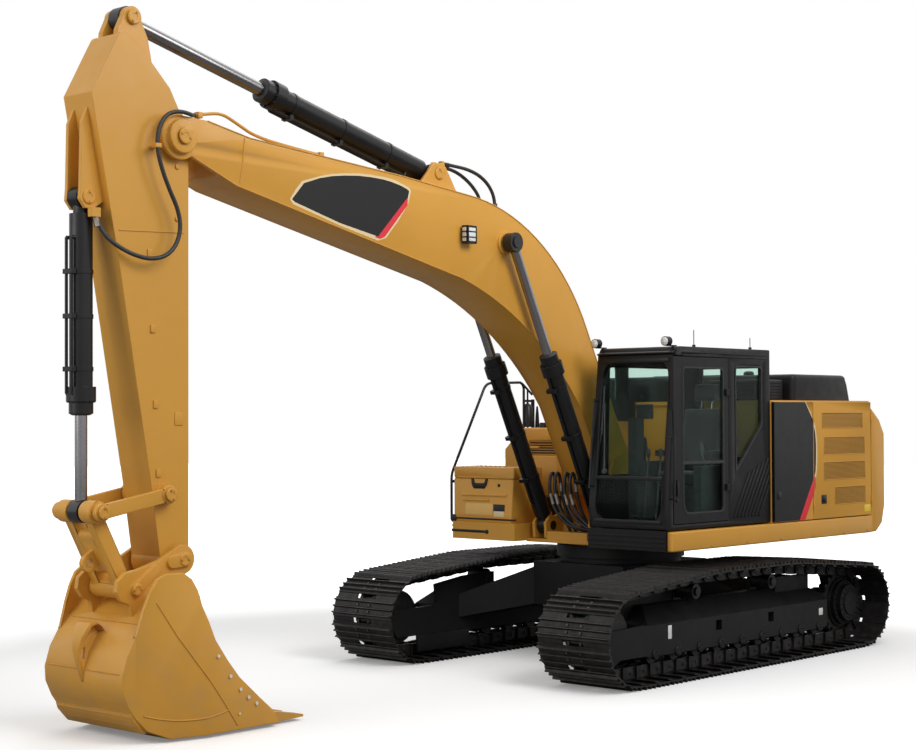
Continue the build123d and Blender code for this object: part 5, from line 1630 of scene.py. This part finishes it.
PINS = (
    Pin("boom_tip", "stick", 5.83, 4.52, 0.318, 0.062, 200),
    Pin("boom_cylinder_top", "boom", 2.06, 3.97, 0.278, 0.07, 60),
    Pin("idler", "idler_links", 5.94, 1.8, 0.29, 0.052, 250),
    Pin("link", "idler_links", 6.555, 1.69, 0.29, 0.052, 90),
    Pin("bucket", "bucket", 5.812, 1.304, 0.288, 0.05, 0),
    Pin("bucket_link", "bucket", 6.255, 1.11, 0.288, 0.046, 0),
    Pin("stick_cylinder_top", "stick", 6.18, 5.4, 0.144, 0.058, 300),
    Pin("stick_cylinder_foot", "boom", 2.83, 4.545, 0.155, 0.056, 90),
    Pin("bucket_cylinder_foot", "stick", 6.56, 4.01, 0.103, 0.056, 90),
)


@dataclass
class Arm:
    """Fittings of the boom, stick, bucket and cylinders."""

    trees: Trees
    bar_rise: float = 0.012  # side bars over the bucket's sides
    boom_half: float = 0.25

    def build(self) -> None:
        """Build every fitting."""
        for graphic in BOOM_GRAPHICS:
            for out in (1.0, -1.0):
                graphic.build(out * self.boom_half)
        for ram in RAMS:
            self.fit_ram(ram)
        self.fit_welds()
        self.fit_pins()
        self.fit_stick()
        self.fit_bucket()

    def fit_ram(self, ram: Ram) -> None:
        """Head bolts, pipes, clamps and wiper ring of one cylinder."""
        body, aim, r, side = f"{ram.name}_barrel", ram.aim(), ram.barrel_r, Vector((0, 1, 0))
        flange, over = ram.at(ram.barrel_run - 0.09), aim.cross(side)
        turns = [2 * pi * (i + 0.5) / 12 for i in range(12)]
        spots = [tuple(flange + (side * cos(a) + over * sin(a)) * (r + 0.0115)) for a in turns]
        self.trees.bolts(f"{ram.name}_head_bolts", spots, tuple(aim), 0.0085, CYLINDER_BLACK, body)
        Shape().turned(ram.at(ram.barrel_run), aim, [
            (-0.002, r - 0.004), (0.006, r - 0.01), (0.012, r - 0.026), (0.012, r - 0.034)], 40).piece(
            f"{ram.name}_seal", RUBBER, body, 40.0)
        pipes, way = Shape(), ram.way
        lift = (r + 0.022) * way
        low, high = 0.3, ram.barrel_run - 0.15
        for off in ram.pipes:
            pipes.rod(ram.at(low, off, lift), ram.at(high, off, lift), 0.0125, 14)
            for run in (high, low):
                pipes.rod(ram.at(run, off, lift), ram.at(run, off, lift - way * 0.045), 0.0145, 14)
        half, turn = Vector((0.018, 0.055, 0.021)), aim.to_track_quat("X", "Z").to_matrix().to_4x4()
        for run in (0.55, ram.barrel_run * 0.55, ram.barrel_run - 0.33):
            pipes.turned(ram.at(run), aim, [(-0.016, r + 0.005), (0.016, r + 0.005)], 40)
            centre = (ram.at(run - 0.018, -0.055, lift - way * 0.026)
                      + ram.at(run + 0.018, 0.055, lift + way * 0.016)) / 2
            pipes.box(centre - half, centre + half, turn)
        pipes.piece(f"{ram.name}_pipes", CYLINDER_BLACK, body, 30.0)

    def fit_welds(self) -> None:
        """Weld beads along the boom, the stick and their brackets."""
        bead = self.trees.bead
        back = arc_points((2.56, 4.372), (1.56, 4.02), (0.85, 3.22), 18)
        bend = arc_points((0.96, 2.47), (1.64, 3.12), (2.64, 3.612), 18)
        upper = [(5.56, 4.676), (5.13, 4.592), (3.43, 4.462), (2.56, 4.372), *back[1:], (0.5, 2.55), (0.2, 2.03)]
        lower = [(0.62, 1.84), (0.96, 2.47), *bend[1:], (5.27, 4.196), (5.7, 4.372)]
        edge = [(5.186, 4.585), (5.203, 4.407), (5.234, 4.225)]
        lines = [[(x, out * 0.2495 + out * 0.001, z + rise) for x, z in line]
                 for out in SIDES for line, rise in ((upper, -0.004), (lower, 0.004), (edge, 0.0))]
        bead("boom_welds", lines, "boom")
        bead("stick_welds", [[(6.345, y, 3.775), (5.742, y, 3.7975)] for y in (-0.1755, 0.1755)], "stick")
        turns = [2 * pi * i / 36 for i in range(37)]
        rings = [[(2.06 + 0.107 * cos(a), out * 0.2515, 3.97 + 0.107 * sin(a)) for a in turns]
                 for out in SIDES]
        bead("boom_boss_welds", rings, "boom")

    def fit_pins(self) -> None:
        """End caps and keeper bolts of the pins."""
        bolts: dict[str, list[tuple[Point, Point]]] = {}
        for pin in PINS:
            caps, r = Shape(), pin.r
            for out in SIDES:
                caps.turned((pin.x, out * pin.end, pin.z), (0, out, 0), [
                    (-0.004, r), (0.004, r), (0.009, r - 0.008), (0.009, r * 0.45), (0.005, r * 0.4),
                    (0.005, 0.0005)], 32)
                for a in (radians(pin.turn), radians(pin.turn + 180)):
                    spot = (pin.x + r * 0.68 * cos(a), out * (pin.end + 0.008), pin.z + r * 0.68 * sin(a))
                    bolts.setdefault(pin.body, []).append((spot, (0, out, 0)))
            caps.piece(f"{pin.name}_pin_caps", OCHRE, pin.body, 30.0)
        for body, pairs in bolts.items():
            self.trees.bolts(f"{body}_pin_bolts", *zip(*pairs), 0.009, OCHRE, body)

    def fit_stick(self) -> None:
        """Hose guides, small lugs and a hose clamp on the stick."""
        lugs = Shape()
        for z in (3.62, 3.05, 2.48, 1.96):
            x = 5.98 + (z - 1.96) * 0.05
            lugs.block(about(x, 0.022), (0.174, 0.186), about(z, 0.03))
        for z in (4.3, 3.9):
            lugs.turned((5.8, 0.174, z), (0, 1, 0), [(0, 0.022), (0.01, 0.022), (0.012, 0.018)], 18)
        lugs.block((5.745, 5.825), (0.1745, 0.181), (2.32, 2.42))
        lugs.piece("stick_lugs", OCHRE, "stick", bevel=0.003)
        clamp = Shape().block((6.02, 6.06), (0.1745, 0.262), (4.412, 4.432))
        clamp.block((6.05, 6.104), (0.2555, 0.308), (4.405, 4.439))
        clamp.piece("hose_clamp", OCHRE, "stick", bevel=0.003)

    def bucket_side(self, x: float) -> float:
        """Half width of the bucket, which narrows towards its back."""
        return 0.62 if x < 5.85 else 0.62 - 0.14 * (x - 5.85) / 0.57

    def fit_bucket(self) -> None:
        """Holes of the side bars, weld seams, fin cap and tooth pins."""
        bucket, bar, dark = "bucket", 0.62 + self.bar_rise, Shape()
        holes = [(5.769, 0.601), (5.653, 0.44), (5.555, 0.331), (5.476, 0.262), (5.396, 0.207)]
        for out in SIDES:
            for x, z in holes:
                dark.turned((x, out * bar, z), (0, out, 0), [(-0.0005, 0.014), (0.0012, 0.014)], 18)
            dark.turned((5.565, out * bar, 0.15), (0, out, 0), [(-0.0005, 0.009), (0.0012, 0.009)], 14)
        dark.piece("bucket_side_holes", HOLE_PALE, bucket, 30.0)
        line = [(5.578, 0.062), (5.7, 0.238), (5.85, 0.438), (5.93, 0.545), (6.1, 0.775), (6.262, 1.03)]
        belly = arc_points((6.36, 0.215), (5.98, 0.15), (5.66, 0.19), 14)
        seams = [[(x, out * (self.bucket_side(x) + 0.001), z) for x, z in seam]
                 for out in SIDES for seam in (line, belly)]
        self.trees.bead("bucket_seams", seams, bucket)
        rows = ((6.5405, 0.53, -0.44, -0.05), (6.5405, 0.53, 0.05, 0.44), (6.338, 0.872, -0.45, 0.45),
                (6.4425, 0.21, -0.45, 0.45), (6.392, 0.138, -0.45, 0.45))
        self.trees.bead("bucket_back_seams", [[(x, y0, z), (x, y1, z)] for x, z, y0, y1 in rows], bucket, 0.005)
        stations = ((6.395, 0.795, 0.074), (6.435, 0.85, 0.08), (6.48, 0.88, 0.082), (6.53, 0.87, 0.082),
                    (6.562, 0.83, 0.078), (6.59, 0.765, 0.056), (6.606, 0.685, 0.036), (6.592, 0.58, 0.022),
                    (6.548, 0.45, 0.015))
        cap = Shape().loft([[(x, -w, z), (x, w, z), (x - 0.022, w, z - 0.02), (x - 0.022, -w, z - 0.02)]
                            for x, z, w in stations])
        cap.prism([(6.4, 0.74), (6.43, 0.838), (6.475, 0.868), (6.525, 0.858), (6.555, 0.82), (6.578, 0.76),
                   (6.56, 0.735)], -0.011, 0.011)
        cap.piece("bucket_fin_cap", OCHRE, bucket, 40.0, 0.004)
        pins = Shape()
        for y in (-0.5, -0.25, 0.0, 0.25, 0.5):
            pins.rod((5.15, y - 0.062, 0.07), (5.15, y + 0.062, 0.07), 0.012, 14)
        pins.piece("tooth_pins", WORN_STEEL, bucket, 30.0)


def arc_points(a: Flat, b: Flat, c: Flat, count: int) -> list[Flat]:
    """Points on the circle through three.

    Args:
        a: First point.
        b: Point on the way.
        c: Last point.
        count: How many there are.

    Returns:
        The points.
    """
    (ax, az), (bx, bz), (cx, cz) = a, b, c
    aa, bb, cc = ax ** 2 + az ** 2, bx ** 2 + bz ** 2, cx ** 2 + cz ** 2
    d = 2 * (ax * (bz - cz) + bx * (cz - az) + cx * (az - bz))
    ux = (aa * (bz - cz) + bb * (cz - az) + cc * (az - bz)) / d
    uz = (aa * (cx - bx) + bb * (ax - cx) + cc * (bx - ax)) / d
    r = hypot(ax - ux, az - uz)
    start, mid, end = (atan2(z - uz, x - ux) for x, z in (a, b, c))
    turn = (end - start) % (2 * pi)
    if (mid - start) % (2 * pi) > turn:
        turn -= 2 * pi
    turns = [start + turn * i / (count - 1) for i in range(count)]
    return [(ux + r * cos(t), uz + r * sin(t)) for t in turns]


# ---- hoses
def tube_mesh(radius: float, lines: Sequence[Points]) -> Mesh:
    """Closed tubes along smooth NURBS lines, as one mesh."""
    joined = bmesh.new()
    for spots in lines:
        curve = tuned(bpy.data.curves.new("tube", "CURVE"), dimensions="3D", bevel_depth=radius,
                      bevel_resolution=4, use_fill_caps=True, resolution_u=8)
        line = curve.splines.new("NURBS")
        line.points.add(len(spots) - 1)
        for point, spot in zip(line.points, spots):
            point.co = (*spot, 1.0)
        tuned(line, order_u=3, use_endpoint_u=True)
        holder = add_object("tube", curve)
        made = applied(holder)
        joined.from_mesh(made)
        bpy.data.objects.remove(holder)
        bpy.data.meshes.remove(made)
    bmesh.ops.remove_doubles(joined, verts=joined.verts, dist=0.00001)
    bmesh.ops.recalc_face_normals(joined, faces=joined.faces)
    mesh = bpy.data.meshes.new("tubes")
    joined.to_mesh(mesh)
    joined.free()
    return shaded(mesh, 40)


@dataclass
class Hoses:
    """Hoses and pipes that are held at both ends."""

    hose_r: float = 0.0165
    pipe_r: float = 0.013
    pipe_y: float = 0.18
    nut_r: float = 0.024

    def build(self) -> None:
        """Build the hoses and their ends."""
        self.build_boom_lines()
        self.build_valve_loops()
        self.build_joint_hose()

    def build_boom_lines(self) -> None:
        """Steel pipe and hoses on the boom's top, with their clamps."""
        route = ((4.3, 4.548), (4.62, 4.575), (5.018, 4.622), (5.2, 4.7), (5.358, 4.764), (5.5, 4.745),
                 (5.64, 4.716))
        pipe = tube_mesh(self.pipe_r, [[(x, self.pipe_y, z) for x, z in route]])
        add_piece("boom_pipe", pipe, OCHRE, "boom")
        clamps = Shape()
        for x, z in ((4.31, 4.548), (5.595, 4.722)):
            clamps.block(about(x, 0.022), (0.152, 0.208), (z - 0.024, z + 0.022))
        clamps.piece("boom_pipe_clamps", OCHRE, "boom", 25.0, 0.0015)
        routes = (
            (0.048, ((2.6695, 4.652), (2.6, 4.655), (2.52, 4.652), (2.34, 4.642), (2.17, 4.6),
                     (2.04, 4.52), (1.96, 4.4), (1.96, 4.29))),
            (-0.048, ((2.6695, 4.645), (2.54, 4.645), (2.4, 4.625), (2.26, 4.57), (2.14, 4.49),
                      (2.06, 4.4), (2.06, 4.29))),
        )
        nuts, runs = Shape(), []
        for y, route in routes:
            runs.append([(x, y, z) for x, z in route])
            (x0, z0), (x1, z1) = route[0], route[-1]
            nuts.rod((x1, y, z1), (x1, y, z1 + 0.07), self.nut_r, 6)
            nuts.rod((x0 - 0.075, y, z0), (x0, y, z0), self.nut_r, 6)
        add_piece("stick_ram_hoses", tube_mesh(self.hose_r, runs), RUBBER, "boom", ["boom_hoses"])
        nuts.piece("stick_ram_hose_ends", CYLINDER_BLACK, "boom", 25.0, 0.0015)

    def build_valve_loops(self) -> None:
        """Hoses that loop from the deck to the boom's foot."""
        route = (
            # X, shift along Y and Z
            (0.7, 0.36, 1.255), (0.76, 0.24, 1.275), (0.8, 0.12, 1.345), (0.835, 0.04, 1.465),
            (0.855, 0, 1.6), (0.862, 0, 1.72), (0.845, 0, 1.8), (0.815, 0, 1.825), (0.785, 0, 1.8),
            (0.77, 0, 1.72), (0.765, 0.01, 1.6), (0.75, 0.05, 1.46), (0.71, 0.1, 1.32), (0.664, 0.14, 1.17),
        )
        runs, fittings = [], Shape()
        for y in (-0.214, -0.15, -0.03, 0.04):
            runs.append([(x, y + shift, z) for x, shift, z in route])
            # Light steel sleeves on the legs; the long one on each front leg also stands in for the hose's glossy
            # highlight, a painted highlight.
            fittings.rod((0.853, y + 0.003, 1.615), (0.841, y + 0.03, 1.515), 0.02, 10)
            fittings.rod((0.7705, y, 1.72), (0.767, y + 0.005, 1.64), 0.02, 10)
        add_piece("valve_loops", tube_mesh(self.hose_r, runs), RUBBER, "upper", ["valve_hoses"])
        fittings.piece("valve_loop_fittings", WORN_STEEL, angle=25.0)

    def build_joint_hose(self) -> None:
        """Hose from the boom's pipe over the joint to the bucket cylinder."""
        spots = (
            (5.635, 0.18, 4.717), (5.7, 0.225, 4.702), (5.752, 0.285, 4.696), (5.87, 0.292, 4.708),
            (5.99, 0.288, 4.672), (6.062, 0.285, 4.56), (6.078, 0.285, 4.42), (6.04, 0.285, 4.27),
            (5.96, 0.285, 4.1), (5.878, 0.285, 3.96), (5.85, 0.285, 3.82), (5.89, 0.285, 3.69),
            (5.985, 0.285, 3.596), (6.13, 0.275, 3.562), (6.27, 0.25, 3.59), (6.39, 0.212, 3.65),
            (6.48, 0.16, 3.74), (6.52, 0.124, 3.858),
        )
        hose = add_object("bucket_line", tube_mesh(self.hose_r, [spots]))
        dress(hose, RUBBER)
        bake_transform(hose)
        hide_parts("bucket_hose")
        Shape().rod(spots[-1], (6.508, 0.136, 3.79), self.nut_r, 6).piece(
            "bucket_line_end", WORN_STEEL, "stick", 25.0)


# ---- driver's place
@dataclass
class OperatorPlace:
    """Seat, controls and screen in the cab."""

    voxel: float = 0.012
    coarse_voxel: float = 0.02
    slack: float = 0.965             # the cover starts this much smaller than the block
    pressure: float = 4.0
    frames: int = 20
    reach: float = 0.014
    lever_spread: float = 0.07

    def build(self) -> None:
        """Build the seat and what the driver holds."""
        self.pad("seat_cushion")
        self.pad("seat_back")
        self.build_headrest()
        self.build_controls()

    def pad(self, node: str) -> None:
        """Stuffed cushion over a seat block of the frame.

        Args:
            node: The seat block that the cushion stands for.
        """
        centre = middle(node)
        cushion = add_object(f"{node}_pad", bpy.data.objects[node].data.copy())
        cover = merged_copy(cushion.data)
        for vert in cover.verts:
            vert.co = centre + (vert.co - centre) * self.slack
        cover.to_mesh(cushion.data)
        cover.free()
        bpy.context.view_layer.objects.active = cushion
        tuned(cushion.modifiers.new("even", "REMESH"), mode="VOXEL",
              voxel_size=self.voxel)
        tuned(cushion.modifiers.new("soft", "SMOOTH"), iterations=6, factor=0.5)
        self.freeze(cushion)
        rest = [v.co.copy() for v in cushion.data.vertices]
        self.inflate(cushion)
        for vert, start in zip(cushion.data.vertices, rest):
            move = vert.co - start
            if move.length > self.reach:
                vert.co = start + move * (self.reach / move.length)
        tuned(cushion.modifiers.new("finer", "SUBSURF"), levels=1, render_levels=1)
        self.freeze(cushion)
        dress(cushion, CLOTH)
        shaded(cushion.data)
        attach(cushion, "upper")
        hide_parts(node)
        LOG.info("cushion %s, %d faces", node, len(cushion.data.polygons))

    def freeze(self, thing: Thing) -> None:
        """Apply every modifier of an object."""
        made = applied(thing)
        thing.modifiers.clear()
        thing.data = made

    def inflate(self, cushion: Thing) -> None:
        """Let pressure fill the cushion's cover for a few frames."""
        cloth = cushion.modifiers.new("cover", "CLOTH")
        tuned(cloth.settings, use_pressure=True, uniform_pressure_force=self.pressure, quality=6,
              tension_stiffness=30.0, compression_stiffness=30.0, bending_stiffness=2.0)
        cloth.settings.effector_weights.gravity = 0.0
        tuned(cloth.point_cache, frame_start=1, frame_end=self.frames)
        for frame in range(1, self.frames + 1):
            bpy.context.scene.frame_set(frame)
            bpy.context.view_layer.update()
        self.freeze(cushion)
        bpy.context.scene.frame_set(1)

    def build_headrest(self) -> None:
        """Headrest with its posts, and the armrests."""
        low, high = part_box("seat_back")
        x, y, z = low.x, (low.y + high.y) / 2, high.z
        posts = Shape()
        for at in about(y, 0.06):
            posts.rod((x + 0.062, at, z - 0.05), (x + 0.04, at, z + 0.1), 0.007, 12)
        posts.piece("headrest_posts", CHROME, angle=30.0)
        Shape().prism([(x - 0.015, z + 0.05), (x + 0.085, z + 0.05), (x + 0.095, z + 0.12), (x + 0.07, z + 0.215),
                       (x - 0.005, z + 0.22), (x - 0.025, z + 0.12)], y - 0.13, y + 0.13).piece(
            "headrest", CLOTH, angle=25.0, bevel=0.022)
        arms = Shape()
        for at in about(y, 0.3):
            arms.block((-0.06, 0.26), about(at, 0.035), (1.985, 2.045))
            arms.block((-0.075, -0.035), about(at, 0.015), (1.8, 2.0))
        arms.piece("armrests", PLASTIC, angle=25.0, bevel=0.012)

    def build_controls(self) -> None:
        """Joysticks, travel levers, pedals and screen."""
        sticks = Shape()
        for node, lean, most in (("right_console", 0.02, 1.94), ("left_console", -0.02, FAR)):
            low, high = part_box(node)
            x, y, top = low.x + 0.27, (low.y + high.y) / 2, min(most, high.z)
            sticks.rod((x, y, top - 0.01), (x + 0.02, y + lean, top + 0.11), 0.012, 14)
            sticks.turned((x + 0.02, y + lean, top + 0.1), (0.1, 0, 1), [
                (0, 0.014), (0.03, 0.026), (0.1, 0.024), (0.13, 0.015), (0.134, 0.001)], 20)
        sticks.piece("joysticks", PLASTIC)
        levers, tilt = Shape(), Euler((0, -0.5, 0)).to_matrix().to_4x4()
        for side in (-self.lever_spread, self.lever_spread):
            y = middle("seat_cushion").y + side
            levers.rod((0.8, y, 1.4), (0.72, y, 1.98), 0.01, 12)
            levers.turned((0.72, y, 1.98), UP, [
                (0, 0.012), (0.02, 0.02), (0.07, 0.02), (0.09, 0.012), (0.092, 0.001)], 18)
            levers.box((0.78, y - 0.045, 1.395), (0.95, y + 0.045, 1.41), tilt)
        levers.piece("travel_levers", PLASTIC, angle=30.0)
        low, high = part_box("right_console")
        Shape().box((high.x - 0.13, low.y + 0.04, high.z - 0.01), (high.x - 0.09, low.y + 0.2, high.z + 0.13),
                    Euler((0, 0.25, 0.5)).to_matrix().to_4x4()).piece("screen", PLASTIC, angle=25.0, bevel=0.006)


# ---- stage
@dataclass(frozen=True)
class Lamp:
    """Square soft lamp."""

    name: str
    place: Point
    target: Point
    width: float
    power: float

    def build(self) -> None:
        """Hang the lamp."""
        light = tuned(bpy.data.lights.new(self.name, "AREA"), shape="SQUARE", size=self.width, energy=self.power)
        aim = Vector(self.target) - Vector(self.place)
        tuned(add_object(self.name, light), location=self.place,
              rotation_euler=aim.to_track_quat("-Z", "Y").to_euler())


@dataclass
class Stage:
    """Floor, lamps, backdrop light and camera."""

    eye: Point = (14.3256, 10.8698, 2.3866)
    heading: float = 0.7402  # turn of the view from -X towards -Y, in radians
    pitch: float = 0.023
    roll: float = -0.0035
    lens: float = 69.506
    sensor: float = 36.0
    floor_half: float = 60.0
    fill: float = 0.46
    lamps: tuple[Lamp, ...] = (
        Lamp("key", (5.0, 15.0, 13.0), (1.5, 0.0, 1.5), 9.0, 1330.0),
        Lamp("boom", (2.0, 5.2, 7.2), (3.0, 0.0, 4.3), 2.6, 115.0),
        Lamp("stick", (11.5, -1.5, 4.0), (6.0, 0.0, 3.2), 3.0, 95.0),
        Lamp("front", (17.0, 1.0, 8.0), (2.0, 0.0, 2.0), 7.0, 190.0),
        Lamp("top", (-4.0, -3.0, 14.0), (0.0, 0.0, 1.0), 10.0, 420.0),
    )

    def build(self) -> None:
        """Build everything round the machine."""
        self.build_floor()
        self.build_world()
        for lamp in self.lamps:
            lamp.build()
        self.build_camera()

    def build_floor(self) -> None:
        """White floor that shows the machine's shadow, with a painted glow to the camera that is faint round the
        machine and full white far off.
        """
        size = self.floor_half
        mesh = bpy.data.meshes.new("floor")
        mesh.from_pydata([(-size, -size, 0), (size, -size, 0), (size, size, 0), (-size, size, 0)], [], [(0, 1, 2, 3)])
        tree = ShaderTree("studio_floor")
        rays = tree.node("LightPath").outputs["Is Camera Ray"]
        # Painted glow: to the camera the floor glows more with distance from the machine, faint near it and full
        # white from about 9 m off, which leaves a grey pool of painted shade round it; to other rays it is darker, so
        # it throws back less light.
        away = tree.node("VectorMath", {0: tree.place, 1: (1.8, 0.0, 0.0)}, operation="DISTANCE")
        tree.feed({"Base Color": tree.blend(rays, (0.3, 0.3, 0.3), (0.9, 0.9, 0.9)), "Roughness": 0.9,
                   "Specular IOR Level": 0.0, "Emission Color": (1.0, 1.0, 1.0),
                   "Emission Strength": tree.times(rays, tree.ramp(away.outputs["Value"], 5.2, 9.0, 0.18, 1.0))})
        mesh.materials.append(tree.material)
        add_object("floor", mesh)

    def build_world(self) -> None:
        """White surroundings: full strength to the eye, gentler as light."""
        world = tuned(bpy.data.worlds.new("studio"), use_nodes=True)
        bpy.context.scene.world = world
        tree = NodeTree(world.node_tree)
        rays = tree.node("LightPath").outputs
        seen = rays["Is Camera Ray"]
        for ray in ("Is Glossy Ray", "Is Transmission Ray"):
            seen = tree.node("Math", {0: seen, 1: rays[ray]}, operation="MAXIMUM").outputs[0]
        strength = tree.node("MapRange", {"Value": seen, "To Min": self.fill, "To Max": 1.0})
        tree.fill(tree.nodes["Background"], {"Color": (1.0, 1.0, 1.0, 1.0), "Strength": strength.outputs["Result"]})

    def build_camera(self) -> None:
        """Camera at the viewing place."""
        yaw, pitch, roll = self.heading, self.pitch, self.roll
        look = Vector((-cos(yaw) * cos(pitch), -sin(yaw) * cos(pitch), sin(pitch)))
        level = look.cross(Vector(UP)).normalized()
        over = level.cross(look)
        right = cos(roll) * level + sin(roll) * over
        up = cos(roll) * over - sin(roll) * level
        frame = Matrix((right, up, -look)).transposed().to_4x4()
        camera = add_object("camera", tuned(bpy.data.cameras.new("camera"), lens=self.lens,
                                            sensor_width=self.sensor, clip_end=300.0))
        camera.matrix_world = Matrix.Translation(self.eye) @ frame
        bpy.context.scene.camera = camera
        bpy.context.scene.view_settings.view_transform = "Standard"


# ---- main
def clear_scene() -> None:
    """Empty the scene that Blender starts with."""
    for thing in list(bpy.data.objects):
        bpy.data.objects.remove(thing)


def main() -> None:
    """Build the machine's looks round its frame."""
    logging.basicConfig(level=logging.INFO, format="%(name)s: %(message)s")
    clear_scene()
    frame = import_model()
    dress_frame(frame["nodes"])
    trees = Trees()
    for part in (*ROUNDINGS, RunningGear(trees), Housing(trees), CabShell(trees), Arm(trees), Hoses(),
                 OperatorPlace(), Stage()):
        part.build()


if __name__ == "__main__":
    main()
